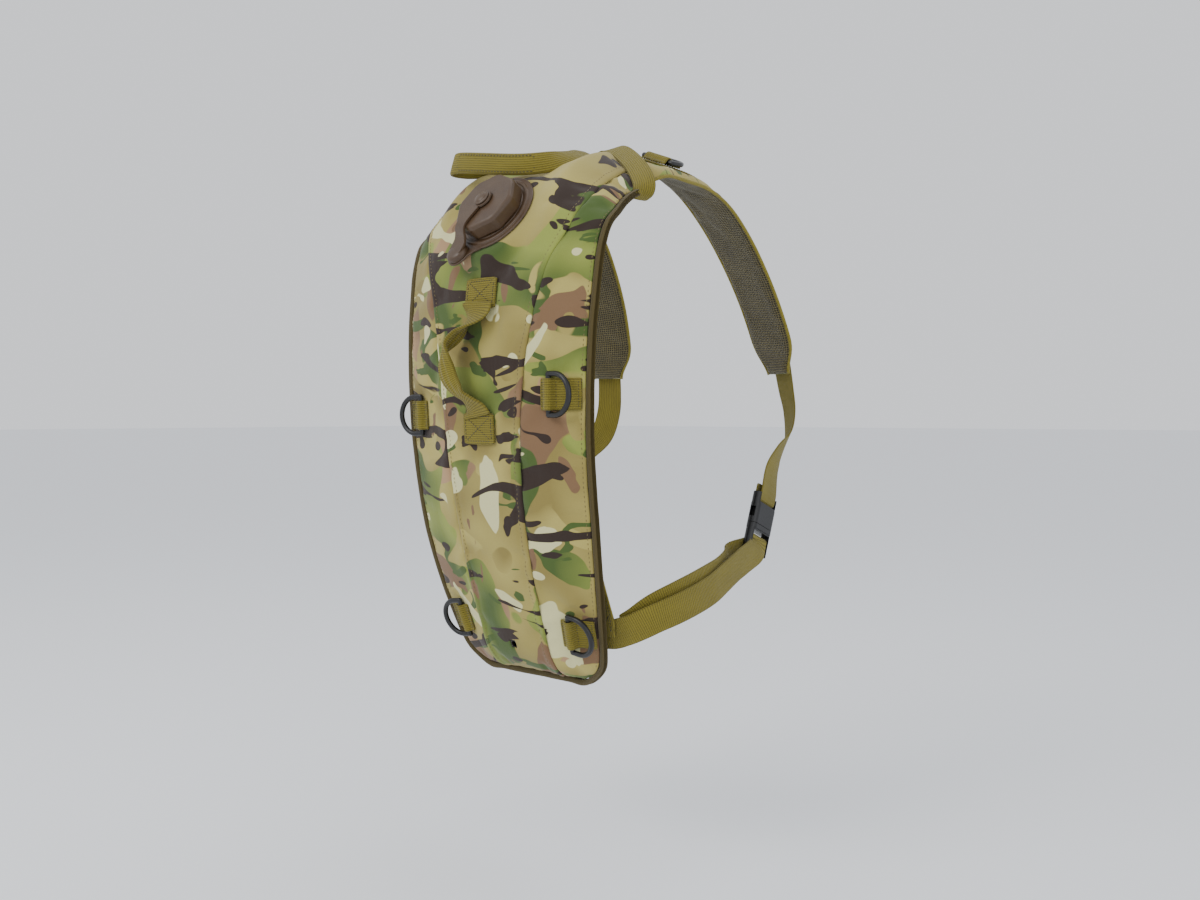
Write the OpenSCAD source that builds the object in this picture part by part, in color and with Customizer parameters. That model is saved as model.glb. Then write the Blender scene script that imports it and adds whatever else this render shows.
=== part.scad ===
// Worn hydration pack: a thin soft shell over a nearly empty reservoir, with a screw cap,
// two padded shoulder straps and two side-release buckles. Millimetres, +Z up, +Y towards
// the wearer's front, +X to the wearer's right. The origin is the nape, where the yoke
// rests on the wearer. Inside the modules, sizes are taken from the mid-front of the pack,
// and place() moves them to the nape.

/* [Pack body] */
// Half width of the pack at mid height
half_w = 100; // [90:1:105]
// Depth of the pack from its outer face to the side edge
front_depth = 14; // [12:0.5:16]
// How much further the middle of the outer face stands out
crown = 1.6; // [0:0.2:2]
// Thickness of an outer panel, fabric and foam together
panel_t = 2.5; // [2:0.1:2.6]
// Thickness of the insulation liner
liner_t = 1.5; // [1:0.1:1.6]
// Thickness of the padded back panel
back_t = 7; // [5:0.5:7]
// Radius of the curve of the wearer's back
back_r = 602; // [560:1:640]

/* [Fill port and cap] */
// Outer radius of the filler neck
neck_r = 25; // [25:0.1:25.2]
// Wall of the filler neck
neck_wall = 3.5; // [2.5:0.1:4]
// Radius of the collar that clamps the fabric
collar_r = 38; // [36:0.5:38]
// Distance across the cap's flats
cap_flats = 56; // [55:0.5:57]
// Top face of the cap above the fabric
cap_top = 17; // [16.5:0.1:17.5]
// Lean of the port from upright, in degrees
port_lean = 33; // [32:0.5:34]

/* [Webbing] */
// Width of the narrow webbing
web_w = 25; // [23:0.5:25]
// Thickness of the webbing
web_t = 1.5; // [1.2:0.1:1.6]
// Width of the webbing of the front handle
handle_w = 35; // [32:1:36]
// Width of a padded shoulder strap
pad_w = 58; // [54:1:60]
// Thickness of a padded shoulder strap
pad_t = 9; // [7:0.5:9]

/* [D-rings and buckles] */
// Radius of the wire of a D-ring
wire_r = 2.2; // [2:0.1:2.3]
// Radius of the D-ring's bow, at the middle of the wire
bow_r = 16; // [15.5:0.1:16.5]
// Width of the buckle
buckle_w = 33; // [32:0.5:34]
// Thickness of the buckle
buckle_t = 10; // [9.5:0.1:10.5]

/* [Hidden] */

$fn = 48;
olive = [0.58, 0.53, 0.24];
khaki = [0.62, 0.56, 0.36];
brown = [0.40, 0.31, 0.23];
black = [0.07, 0.07, 0.08];
gap = 0.3;                      // clearance between soft neighbours

nape = [0, 88, 192];            // the nape, from the mid-front of the pack
bottom_z = -230;                // lowest point of the body
belly_z = 20;                   // height where the wearer's back stands out furthest

// ---- outline of the body, all as functions of height ----
function edge_y(z) = front_depth - 1 + (z - belly_z) * (z - belly_z) / (2 * back_r);
function lean(z) = atan((z - belly_z) / back_r);
function round_end(z, start, len) = z > start ? 1 : sqrt(max(0, 1 - pow((start - z) / len, 2)));
function seam_x(z) = 36 + 9.3 * exp(z / 85);
function edge_x(z) = half_w + 0.04 * z - 0.00082 * pow(max(0, -80 - z), 2)
    - 20 * (1 - round_end(z, -208, 22.2));
function depth(z) = round_end(z, -206, 24);

// One station across the body: centre, shoulder, seam and edge points, the direction
// in which the shell thickens, and the wearer's side at the centre and at the edge.
function body_row(z) = let (y = edge_y(z), a = min(seam_x(z), edge_x(z) - 22))
    [[0, y - (front_depth + crown) * depth(z), z],
     [a * 0.6, y - (front_depth + crown * 0.6) * depth(z), z],
     [a, y - front_depth * depth(z), z],
     [edge_x(z), y, z],
     0, [y + 10, z], [y + 10, z]];

// The yoke leans forward over the shoulders and ends on a slanting line.
YOKE = [
    [[0, 8, 130], [58, 9, 131], [79, 13, 129], [105, 24, 127], 8, [38, 130], [34, 123.5]],
    [[0, 15, 146], [60, 14, 149], [85, 20, 145], [106, 30, 140], 20, [45, 146], [39, 133.5]],
    [[0, 25, 163], [60, 21, 166], [88, 31, 157], [106, 40, 149], 32, [54, 161], [47.5, 141]],
    [[0, 37, 178], [60, 34, 182], [88, 44, 168], [105, 49, 157], 42, [64, 173], [56, 148.5]],
    [[0, 52, 190], [60, 53, 196], [88, 57, 176], [105, 57, 163], 52, [74, 182], [63, 153.5]],
    [[0, 68, 198], [60, 77, 206], [88, 70, 183], [105, 65, 167], 62, [82, 188], [70, 157]],
    [[0, 82, 202], [58, 98, 210], [88, 83, 189], [105, 74, 171], 70, [88, 192], [78.5, 161]]];
ROWS = concat(
    [for (z = [bottom_z, -229, -226, -220, -212, -200, -180, -155, -125, -95, -65, -35, -5,
        25, 55, 85, 110]) body_row(z)],
    YOKE);

function mix(a, b, t) = a + (b - a) * t;
function inward(row) = [0, cos(row[4]), -sin(row[4])];

// A point of the outer face at distance x from the middle, set back by d
function outer_point(row, x, d) = let (r = abs(x), c = row[0], s = row[1], m = row[2], e = row[3],
    p = r <= s[0] ? mix(c, s, pow(r / s[0], 2))
      : r <= m[0] ? mix(s, m, (r - s[0]) / (m[0] - s[0]))
      : mix(m, e, (r - m[0]) / (e[0] - m[0])))
    [x, p[1], p[2]] + inward(row) * d;

// A point of the wearer's side at distance x from the middle, set forward by d
function back_point(row, x, d) = let (t = pow(min(1, abs(x) / row[3][0]), 2),
    y = mix(row[5][0], row[6][0], t), z = mix(row[5][1], row[6][1], t))
    [x, y, z] - inward(row) * d;

// Stations across an inner layer, which ends at a distance rim from the edge
function stations(row, rim) = let (m = row[2][0], e = row[3][0] - rim)
    [-e, for (s = [-1, -0.6, -0.3, 0, 0.3, 0.6, 1]) s * m, e];

// ---- solids from grids and bands ----
// A closed skin between two grids of the same size: front[i][j] and rear[i][j].
module skin(front, rear) {
    n = len(front);
    m = len(front[0]);
    flat = [for (row = front) each row, for (row = rear) each row];
    k = n * m;
    faces = [
        for (i = [0 : n - 2]) for (j = [0 : m - 2]) let (p = i * m + j) each [
            [p, p + 1, p + m], [p + 1, p + m + 1, p + m],
            [k + p, k + p + m, k + p + 1], [k + p + 1, k + p + m, k + p + m + 1]],
        for (i = [0 : n - 2]) for (p = [i * m]) each [
            [p, p + m, k + p], [p + m, k + p + m, k + p]],
        for (i = [0 : n - 2]) for (p = [i * m + m - 1]) each [
            [p, k + p, p + m], [p + m, k + p, k + p + m]],
        for (p = [0 : m - 2]) each [
            [p, k + p, p + 1], [p + 1, k + p, k + p + 1]],
        for (j = [0 : m - 2]) let (p = (n - 1) * m + j) each [
            [p, p + 1, k + p], [p + 1, k + p + 1, k + p]]];
    polyhedron(flat, [for (f = faces) [f[2], f[1], f[0]]]);
}

function unit(v) = v / norm(v);
function tangent(path, i) = unit(path[min(i + 1, len(path) - 1)] - path[max(i - 1, 0)]);

// A flat strap along a path; across[i] is the direction of its width at point i. The
// width w is one number, or one for each point.
module band(path, across, w, t) {
    n = len(path);
    rings = [for (i = [0 : n - 1]) let (
        u = unit(across[i]), v = unit(cross(u, tangent(path, i))), c = path[i],
        h = (is_num(w) ? w : w[i]) / 2)
        [c - u * h - v * t / 2, c + u * h - v * t / 2,
         c + u * h + v * t / 2, c - u * h + v * t / 2]];
    points = [for (r = rings) each r];
    faces = concat(
        [[3, 2, 1, 0]], [[for (j = [0 : 3]) (n - 1) * 4 + j]],
        [for (i = [0 : n - 2]) for (j = [0 : 3]) let (p = i * 4, q = (j + 1) % 4)
            each [[p + j, p + q, p + 4 + j], [p + q, p + 4 + q, p + 4 + j]]]);
    polyhedron(points, faces);
}

module place() { translate(-nape) children(); }
module right() { place() children(); }
module left() { mirror([1, 0, 0]) place() children(); }

// ---- body panels ----
port = [0, 16.5, 153.7];        // middle of the collar, on the fabric
module at_port() { translate(port) rotate([90 - port_lean, 0, 0]) children(); }
module port_hole(r) { at_port() translate([0, 0, -30]) cylinder(r = r, h = 60); }

center_steps = [-1, -0.8, -0.6, -0.3, 0, 0.3, 0.6, 0.8, 1];
drain_z = -204;                 // height of the drain eyelet
drain = outer_point(body_row(drain_z), 0, 0);
module at_drain() { translate(drain) rotate([90 - lean(drain_z), 0, 0]) children(); }

module front_center_panel() {
    color(khaki) difference() {
        skin([for (r = ROWS) [for (s = center_steps) outer_point(r, s * (r[2][0] - gap / 2), 0)]],
             [for (r = ROWS) [for (s = center_steps)
                 outer_point(r, s * (r[2][0] - gap / 2), panel_t)]]);
        port_hole(neck_r + 0.4);
        at_drain() translate([0, 0, -8]) cylinder(r = 3.6, h = 16);
    }
}

side_steps = [0, 0.34, 0.67, 1];
function side_x(r, s) = mix(r[2][0] + gap / 2, r[3][0], s);
module side_panel() {
    color(khaki) skin(
        [for (r = ROWS) [for (s = side_steps) outer_point(r, side_x(r, s), 0)]],
        [for (r = ROWS) [for (s = side_steps) outer_point(r, side_x(r, s), panel_t)]]);
}

back_steps = [-1, -0.75, -0.5, -0.25, 0, 0.25, 0.5, 0.75, 1];
module back_panel() {
    color([0.45, 0.40, 0.26]) skin(
        [for (r = ROWS) [for (s = back_steps) back_point(r, s * r[3][0], back_t)]],
        [for (r = ROWS) [for (s = back_steps) back_point(r, s * r[3][0], 0)]]);
}

LINER_ROWS = [for (i = [4 : len(ROWS) - 4]) ROWS[i]];
liner_set = panel_t + 2 * gap;  // how far the liner lies behind the outer face
module insulation_liner() {
    color([0.75, 0.76, 0.78]) difference() {
        skin([for (r = LINER_ROWS) [for (x = stations(r, 9)) outer_point(r, x, liner_set)]],
             [for (r = LINER_ROWS) [for (x = stations(r, 9))
                 outer_point(r, x, liner_set + liner_t)]]);
        port_hole(neck_r + 0.4);
        at_drain() translate([0, 0, -8]) cylinder(r = 6.8, h = 16);
    }
}

// ---- reservoir ----
RES_ROWS = [for (i = [5 : len(ROWS) - 6]) ROWS[i]];
res_set = liner_set + liner_t + 2 * gap;
module reservoir() {
    color([0.55, 0.70, 0.85]) difference() {
        skin([for (r = RES_ROWS) [for (x = stations(r, 20)) outer_point(r, x, res_set)]],
             [for (r = RES_ROWS) [for (x = stations(r, 20)) back_point(r, x, back_t + 2 * gap)]]);
        at_port() translate([0, 0, -16]) cylinder(r = neck_r + 0.2, h = 40);
    }
}

outlet_z = -206;                // top of the outlet fitting, under the reservoir
outlet_bore = 2;                // radius of the hose outlet's bore
module hose_outlet() {
    color(black) translate([0, edge_y(outlet_z) - 3.5, outlet_z - 6.5]) difference() {
        union() {
            cylinder(r = 4, h = 6);
            rotate([0, 90, 0]) cylinder(r = 3.2, h = 26);
            sphere(r = 4);
        }
        rotate([0, 90, 0]) cylinder(r = outlet_bore, h = 30);
    }
}

// ---- fill port ----
neck_top = 11.5;                // rim of the neck above the fabric
anchor_r = 8;                   // thick round end of the tether
anchor_at = 46;                 // its distance from the cap's axis
hinge_at = 37;                  // bending line of the tether, from the cap's axis
hinge_h = 8.4;                  // height of that line above the fabric
tab_turn = 245.7;               // direction of the tab around the port, in degrees
module towards_tab() { at_port() rotate([0, 0, tab_turn]) children(); }

module fill_neck() {
    color(brown) at_port() difference() {
        union() {
            translate([0, 0, -15]) cylinder(r = neck_r, h = 15 + neck_top);
        }
        translate([0, 0, -16]) cylinder(r = neck_r - neck_wall, h = 17 + neck_top);
    }
}

module fill_collar() {
    color(brown) difference() {
        union() {
            at_port() translate([0, 0, gap]) cylinder(r = collar_r, h = 1.5);
            at_port() translate([0, 0, gap]) cylinder(r = 33.5, h = 2.5);
            towards_tab() translate([anchor_at, 0, gap]) cylinder(r = 10.5, h = 1.5);
            towards_tab() translate([30, -10.5, gap]) cube([16, 21, 1.5]);
        }
        port_hole(neck_r + 0.2);
    }
}

module tether_anchor() {
    color(brown) towards_tab() translate([anchor_at, 0, 2.1]) {
        cylinder(r = anchor_r, h = 4);
        translate([0, 0, 4]) cylinder(r = anchor_r - 1.2, h = 1.2);
    }
}

tether_w = 13;
tether_t = 1.8;
tether_h = cap_top + 0.6;       // underside of the band over the cap
module cap_tether() {
    line = [[hinge_at - 0.6, hinge_h + 0.3], [hinge_at - 3.6, hinge_h + 4],
        [hinge_at - 7.2, cap_top + 0.4], [hinge_at - 11, tether_h + tether_t / 2],
        [7, tether_h + tether_t / 2]];
    color(brown) towards_tab() {
        band([for (p = line) [p[0], 0, p[1]]], [for (p = line) [0, 1, 0]], tether_w, tether_t);
        translate([hinge_at, tether_w / 2, hinge_h]) rotate([90, 0, 0])
            cylinder(r = 1.1, h = tether_w);
        translate([0, 0, tether_h]) difference() {
            cylinder(r = 8.5, h = tether_t);
            translate([0, 0, -1]) cylinder(r = 4.05, h = tether_t + 2);
        }
    }
}

cap_rim = 3.4;                  // lower rim of the cap above the fabric
cap_corner = cap_flats / 2 / cos(22.5);
module cap_shell() {
    color(brown) towards_tab() rotate([0, 0, 22.5]) difference() {
        union() {
            translate([0, 0, cap_rim]) cylinder(r = cap_corner, h = 7, $fn = 8);
            translate([0, 0, cap_rim + 7])
                cylinder(r1 = cap_corner, r2 = 27, h = cap_top - cap_rim - 7, $fn = 8);
        }
        translate([0, 0, cap_rim - 1]) cylinder(r = neck_r + 1.2, h = 11);
    }
}

module cap_gasket() {
    color([0.8, 0.78, 0.7]) at_port() translate([0, 0, neck_top + 0.4]) difference() {
        cylinder(r = neck_r + 0.6, h = 1.3);
        translate([0, 0, -1]) cylinder(r = neck_r - neck_wall - 0.6, h = 4);
    }
}

module cap_button() {
    color(brown) at_port() translate([0, 0, cap_top]) {
        cylinder(r = 4, h = 3);
        translate([0, 0, 2.7]) intersection() {
            cylinder(r = 6.8, h = 3);
            translate([0, 0, -9.6]) sphere(r = 12);
        }
    }
}

// ---- drain ----
module drain_eyelet() {
    color([0.2, 0.2, 0.2]) at_drain() difference() {
        union() {
            translate([0, 0, 0.2]) cylinder(r = 6, h = 0.9);
            translate([0, 0, -panel_t - 0.6]) cylinder(r = 3.4, h = panel_t + 1.2);
        }
        translate([0, 0, -10]) cylinder(r = 2.6, h = 20);
    }
}

module drain_washer() {
    color([0.2, 0.2, 0.2]) at_drain() translate([0, 0, -panel_t - 1.0]) difference() {
        cylinder(r = 6, h = 0.7);
        translate([0, 0, -1]) cylinder(r = 3.45, h = 3);
    }
}

// ---- bindings ----
BINDING_ROWS = [for (i = [1 : len(ROWS) - 8]) ROWS[i]];
module edge_binding() {
    function rim(r) = [r[3][0] + 1.5, mix(r[3][1], r[6][0], 0.5), mix(r[3][2], r[6][1], 0.5)];
    rims = [for (r = BINDING_ROWS) rim(r)];
    last = len(rims) - 1;
    path = concat([for (i = [last : -1 : 0]) rims[i]],
        [for (x = [58, 25, -25, -58]) [x, edge_y(bottom_z) + 5.2, bottom_z - 1.4]],
        [for (i = [0 : last]) [-rims[i][0], rims[i][1], rims[i][2]]]);
    color([0.40, 0.35, 0.20])
        band(path, [for (p = path) [0, 1, 0]], 10.5, 1.5);
}

neck_x = [-46, -34, -20, -7, 7, 20, 34, 46];
module neckline_binding() {
    last_row = ROWS[len(ROWS) - 1];
    outer = [for (x = neck_x) outer_point(last_row, x, 0)];
    back = [for (x = neck_x) back_point(last_row, x, 0)];
    ways = [for (i = [0 : len(neck_x) - 1]) unit(back[i] - outer[i])];
    path = [for (i = [0 : len(neck_x) - 1]) mix(outer[i], back[i], 0.5)
        + 1.9 * [0, -ways[i][2], ways[i][1]]];
    color(olive) band(path, ways, 11, web_t);
}

// ---- handles ----
top_path = [[43, 80, 208], [42, 66, 206.5], [38, 54, 203], [30, 43, 198], [17, 34, 195.5],
    [0, 29.5, 197], [-30, 26, 201.5], [-54, 26, 206], [-65, 33, 208.5], [-65, 45, 209.5],
    [-57, 60, 209.5], [-45, 80, 208]];
top_across = [[-1, 0, 0.3], [-0.85, 0, 0.5], [-0.5, 0, 0.85], [-0.2, 0, 1], [0, 0, 1], [0, 0, 1],
    [0, 0, 1], [0, 0, 1], [0, 0, 1], [0.1, 0, 1], [0.5, 0, 0.85], [1, 0, 0.3]];
top_width = [10, 11, 13, 15, 17, 17, 17, 17, 16, 15, 13, 10];
module top_handle() { color(olive) band(top_path, top_across, top_width, 3); }

patch_top_z = 86.5;             // middle of the upper sewn patch
patch_low_z = -23;              // middle of the lower sewn patch
patch_h = 25;
module handle_patch(z) {
    y = outer_point(body_row(z), 0, 0)[1];
    translate([-handle_w / 2, y - web_t - gap, z - patch_h / 2])
        cube([handle_w, web_t, patch_h]);
}
module front_handle_patches() {
    color(olive) {
        translate([0, -1.4, 0]) handle_patch(patch_top_z);
        translate([0, -0.5, 0]) handle_patch(patch_low_z);
    }
}

front_path = [[0, -3.8, 72], [-3, -7, 64], [-9, -14, 54], [-14, -19, 44], [-16, -21, 33],
    [-15, -20, 21], [-10, -14, 10], [-4, -7, 0], [0, -3.8, -8]];
front_width = [3, 7, 14, 20, 22, 20, 14, 7, 3];
front_across = [[1, 0, 0], [1, -0.1, 0], [0.9, -0.4, 0.1], [0.75, -0.65, 0.1],
    [0.7, -0.7, 0], [0.75, -0.65, -0.1], [0.9, -0.4, -0.1], [1, -0.1, 0], [1, 0, 0]];
module front_handle() { color(olive) band(front_path, front_across, front_width, web_t * 1.4); }

// ---- D-rings and their loops ----
// Local axes of a loop: x along the webbing away from its sewn inner end, -y away from
// the pack, z along the ring's bar.
bar_at = 8;                     // bar of the ring, from the loop's inner end
bar_out = 3.1;                  // bar of the ring, out from the fabric
hump_r = wire_r + 0.5;
module web_loop(length) {
    color(olive) translate([0, 0, -web_w / 2]) linear_extrude(web_w) {
        difference() {
            union() {
                translate([0, -web_t - gap]) square([length, web_t]);
                translate([bar_at, -bar_out]) circle(r = hump_r + web_t);
            }
            translate([bar_at, -bar_out]) circle(r = hump_r);
            translate([-1, -gap]) square([length + 2, 20]);
        }
    }
}

arm_len = 7;                    // straight arm between the ring's bar and its bow
module d_ring(rest) {
    color(black) translate([bar_at, -bar_out, 0]) rotate([0, 0, -rest]) {
        translate([0, 0, -bow_r]) cylinder(r = wire_r, h = 2 * bow_r);
        for (s = [-1, 1]) translate([0, 0, s * bow_r]) {
            sphere(r = wire_r);
            rotate([0, 90, 0]) cylinder(r = wire_r, h = arm_len);
        }
        translate([arm_len, 0, 0]) rotate([90, 0, 0]) rotate([0, 0, -90])
            rotate_extrude(angle = 180) translate([bow_r, 0]) circle(r = wire_r);
    }
}

function slope(z) = atan(front_depth / (edge_x(z) - seam_x(z)));
module on_side(x, z) {
    translate(outer_point(body_row(z), x, 0)) rotate([0, 0, slope(z)])
        rotate([-atan((z - belly_z) / back_r), 0, 0]) children();
}
upper_z = 4;                    // height of the right upper ring
upper_left_z = -12;             // the left one is sewn lower
lower_z = -188;                 // height of the lower rings
upper_x = 63;                   // inner end of the right upper loop
upper_left_x = 72;
lower_x = 53;

// ---- shoulder straps ----
pad_path = [[80, 90, 193], [81, 100, 198], [82, 112, 200.5], [82, 140, 200.5], [83, 170, 196],
    [85, 200, 183], [88, 228, 160], [93, 251, 130], [98, 270, 97], [103, 284, 62],
    [107, 293, 28]];
pad_across = [[0.74, -0.32, -0.6], [0.85, -0.2, -0.5], [0.93, 0, -0.372], [0.93, 0, -0.372],
    [0.95, -0.02, -0.3], [0.96, -0.06, -0.25], [0.95, -0.14, -0.2], [0.94, -0.22, -0.15],
    [0.93, -0.28, -0.1], [0.92, -0.32, -0.05], [0.9, -0.36, 0]];
function up_dir(path, across, i) = unit(cross(unit(across[i]), tangent(path, i)));
function lifted(path, across, d) = [for (i = [0 : len(path) - 1])
    path[i] + up_dir(path, across, i) * d];
function part_of(v, a, b) = [for (i = [a : b]) v[i]];

module shoulder_pad() {
    color(khaki) band(lifted(pad_path, pad_across, -pad_t / 2), pad_across, pad_w, pad_t);
}

buckle_at = [124, 224, -112];   // where the two halves of the buckle meet
hang = 21.8;                    // how far the buckle leans from upright, in degrees
function at_buckle(p) = buckle_at + [p[0], p[1] * cos(hang) + p[2] * sin(hang),
    -p[1] * sin(hang) + p[2] * cos(hang)];
buckle_across = at_buckle([0, 1, 0]) - buckle_at;
socket_bar_z = 24;              // bar of the socket that holds the shoulder webbing
plug_bar_z = -12;               // bar of the plug that the lower webbing turns around
leg = 2.9;                      // from a bar to the middle of the webbing beside it

// The webbing leaves the pad, drops to the buckle and turns back around its bar.
free_path = [[109, 296, 12], [112, 298, -10], [115, 290, -33], [118, 268, -49],
    [121, 251, -64]];
free_across = [[0.88, -0.42, 0], [0.8, -0.55, 0.05], [0.6, -0.65, 0.3],
    [0.35, -0.85, 0.5], [0.1, -0.93, 0.45]];
turn_up = [for (a = [90 : 30 : 270]) [leg * sin(a), 0, socket_bar_z + leg * cos(a)]];
function flip(v) = [for (i = [len(v) - 1 : -1 : 0]) v[i]];
socket_turn = [for (p = [[leg, 0, socket_bar_z + 8], each turn_up, [-leg, 0, socket_bar_z + 14]])
    at_buckle(p)];
module shoulder_webbing() {
    over_pad = lifted(part_of(pad_path, 2, 10), part_of(pad_across, 2, 10), web_t / 2 + 4 * gap);
    path = concat(over_pad, free_path, socket_turn);
    across = concat(part_of(pad_across, 2, 10), free_across,
        [for (p = socket_turn) -buckle_across]);
    color(olive) band(path, across, web_w, web_t);
}

cross_path = [[50, 104, 214.9], [60, 101, 213.3], [74, 95, 205.6], [90, 87, 194.1],
    [104, 79, 179]];
module cross_band() {
    color(olive) band(cross_path, [for (p = cross_path) [0.35, 0.8, 0.35]], 24, web_t);
}

shoulder_ring_at = [82, 128, 200.5 + 5 * gap + web_t];
module on_shoulder() {
    translate(shoulder_ring_at) rotate([0, 21.8, 0]) rotate([0, 0, 90]) rotate([-90, 0, 0])
        translate([-bar_at, 0, 0]) children();
}

// ---- buckle ----
// Local axes: x out from the wearer, y across the webbing, z up along it.
module at_buckle_frame() { translate(buckle_at) rotate([-hang, 0, 0]) children(); }
module rounded_block(w, t, h) {
    linear_extrude(h) {
        square([t, w - t], center = true);
        for (s = [-1, 1]) translate([0, s * (w - t) / 2]) circle(d = t);
    }
}
cavity_w = 27.6;                // width of the socket's cavity
cavity_t = 5.6;
bar_r = 1.6;
module buckle_frame(z0, z1, slots) {
    difference() {
        translate([0, 0, z0]) rounded_block(buckle_w, buckle_t - 1, z1 - z0);
        for (s = slots) translate([-10, -web_w / 2 - 0.8, s[0]])
            cube([20, web_w + 1.6, s[1] - s[0]]);
    }
}
module bar(z) {
    translate([0, -buckle_w / 2 + 3, z]) rotate([-90, 0, 0]) cylinder(r = bar_r, h = buckle_w - 6);
}
module buckle_socket() {
    color(black) at_buckle_frame() {
        difference() {
            translate([0, 0, 0.2]) rounded_block(buckle_w, buckle_t, 18);
            translate([-cavity_t / 2, -cavity_w / 2, -1]) cube([cavity_t, cavity_w, 17.4]);
            for (s = [-1, 1]) translate([-2.6, s * (buckle_w / 2 - 2) - 3, 5.5])
                cube([5.2, 6, 9]);
        }
        buckle_frame(18.2, 28.5, [[18.4 + 1.4, 30]]);
        bar(socket_bar_z);
    }
}
module buckle_plug() {
    color(black) at_buckle_frame() {
        translate([0, 0, -4.5]) rounded_block(buckle_w, buckle_t, 4.3);
        translate([-2.2, -3, -1]) cube([4.4, 6, 14]);
        buckle_frame(-25, -4.5, [[-30, -6]]);
        bar(plug_bar_z);
        bar(-23.4);
    }
}
latch_y = 10;                   // hinge of a latch arm, from the buckle's middle
latch_z = 1.4;
module latch(s) {
    color(black) at_buckle_frame() {
        translate([-2.4, s * latch_y, latch_z]) rotate([0, 90, 0]) cylinder(r = 1.2, h = 4.8);
        translate([-2.4, s * latch_y - 1.2, latch_z]) cube([4.8, 2.4, 9]);
        translate([-2.4, s > 0 ? latch_y - 1.2 : -latch_y - 2.3, latch_z + 5]) cube([4.8, 3.5, 8]);
    }
}

// ---- lower webbing: from the pack to the plug, around its bar and back ----
load_path = [[72, 63.8, -191], [84, 64, -190], [96, 64.2, -186], [106, 66.5, -182],
    [119.5, 75, -174.5], [129, 92, -168], [134, 112, -162], [135.5, 133, -156],
    [134.5, 152, -149.5], [133, 172, -142.5], [131, 190, -137.5]];
load_across = [[0.1, -0.3, 1], [0.1, -0.3, 1], [0.1, -0.3, 1], [0.05, -0.3, 1], [0, -0.25, 1],
    [-0.05, -0.25, 1], [-0.08, -0.3, 1], [-0.1, -0.35, 1], [-0.05, -0.45, 0.95],
    [0, -0.6, 0.85], [0, -0.8, 0.62]];
turn_down = [for (a = [90 : -30 : -90]) [leg * sin(a), 0, plug_bar_z + leg * cos(a)]];
plug_turn = [for (p = [[6, 0, -26], [leg, 0, -16], each turn_down, [-leg, 0, -16], [-6, 0, -26]])
    at_buckle(p)];
tail_path = [[119, 188, -135], [126, 171, -140], [130, 152, -145.5], [131.3, 133, -151],
    [129.8, 113, -157], [125, 94, -162.5], [115.5, 79, -169], [105, 71, -178],
    [97, 68, -183]];
tail_across = flip(part_of(load_across, 2, 10));
module lower_webbing() {
    path = concat(load_path, plug_turn, tail_path);
    across = concat(load_across, [for (p = plug_turn) -buckle_across], tail_across);
    color(olive) band(path, across, web_w, web_t);
}

tab_z = -166;                   // middle height of the triangular tab
module anchor_tab() {
    low = -26;
    x = edge_x(tab_z + low) - 8;
    color(olive) translate([0, edge_y(tab_z) + 10 + 4 * gap, tab_z]) rotate([-lean(tab_z), 0, 0])
        rotate([90, 0, 0]) mirror([0, 0, 1]) linear_extrude(1.2)
            polygon([[x, low], [x + 16, low], [x + 19, low + 16], [x + 16, -low],
                [x + 12, -low]]);
}

// ---- zip for loading the reservoir, on the wearer's side ----
zip_z = 60;
zip_half = 72;
zip_tilt = 3.9;                 // lean of the wearer's side at the zip
zip_y = edge_y(zip_z) + 10;
module on_zip() { translate([0, zip_y + 0.37, zip_z]) rotate([-zip_tilt, 0, 0]) children(); }
module zip_tape() {
    on_zip() {
        color([0.15, 0.15, 0.13]) translate([-zip_half - 8, 0, -13])
            cube([2 * zip_half + 16, 0.9, 26]);
        color([0.1, 0.1, 0.1]) translate([-zip_half, 0.9, -2.4])
            cube([2 * zip_half, 1.4, 4.8]);
    }
}
module zip_slider() {
    color([0.12, 0.12, 0.12]) on_zip() translate([-zip_half + 6, 2.6, 0]) {
        translate([-5, 0, -4]) cube([10, 1.6, 8]);
        translate([-1.5, 1.6, -1.2]) cube([3, 1.6, 2.4]);
        translate([-2.5, 1.8, -24]) difference() {
            cube([5, 1.4, 24]);
            translate([1.2, -1, 2]) cube([2.6, 4, 5]);
        }
    }
}

right() front_center_panel();
right() side_panel();  // side_panel_right
left() side_panel();  // side_panel_left
right() back_panel();
right() insulation_liner();
right() reservoir();
right() hose_outlet();
right() fill_neck();
right() fill_collar();
right() tether_anchor();
right() cap_tether();
right() cap_shell();
right() cap_gasket();
right() cap_button();
right() drain_eyelet();
right() drain_washer();
right() edge_binding();
right() neckline_binding();
right() top_handle();
right() front_handle();
right() front_handle_patches();
right() on_side(upper_x, upper_z) web_loop(36);  // dring_loop_upper_right
left() on_side(upper_left_x, upper_left_z) web_loop(27);  // dring_loop_upper_left
right() on_side(lower_x, lower_z) web_loop(30);  // dring_loop_lower_right
left() on_side(lower_x, lower_z) web_loop(30);  // dring_loop_lower_left
right() on_side(upper_x, upper_z) d_ring(20);  // dring_upper_right
left() on_side(upper_left_x, upper_left_z) d_ring(20);  // dring_upper_left
right() on_side(lower_x, lower_z) d_ring(20);  // dring_lower_right
left() on_side(lower_x, lower_z) d_ring(20);  // dring_lower_left
right() shoulder_pad();  // shoulder_pad_right
left() shoulder_pad();  // shoulder_pad_left
right() shoulder_webbing();  // shoulder_webbing_right
left() shoulder_webbing();  // shoulder_webbing_left
right() cross_band();  // cross_band_right
left() cross_band();  // cross_band_left
right() on_shoulder() web_loop(26);  // shoulder_dring_loop_right
left() on_shoulder() web_loop(26);  // shoulder_dring_loop_left
right() on_shoulder() d_ring(4);  // shoulder_dring_right
left() on_shoulder() d_ring(4);  // shoulder_dring_left
right() buckle_socket();  // buckle_socket_right
left() buckle_socket();  // buckle_socket_left
right() buckle_plug();  // buckle_plug_right
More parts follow.
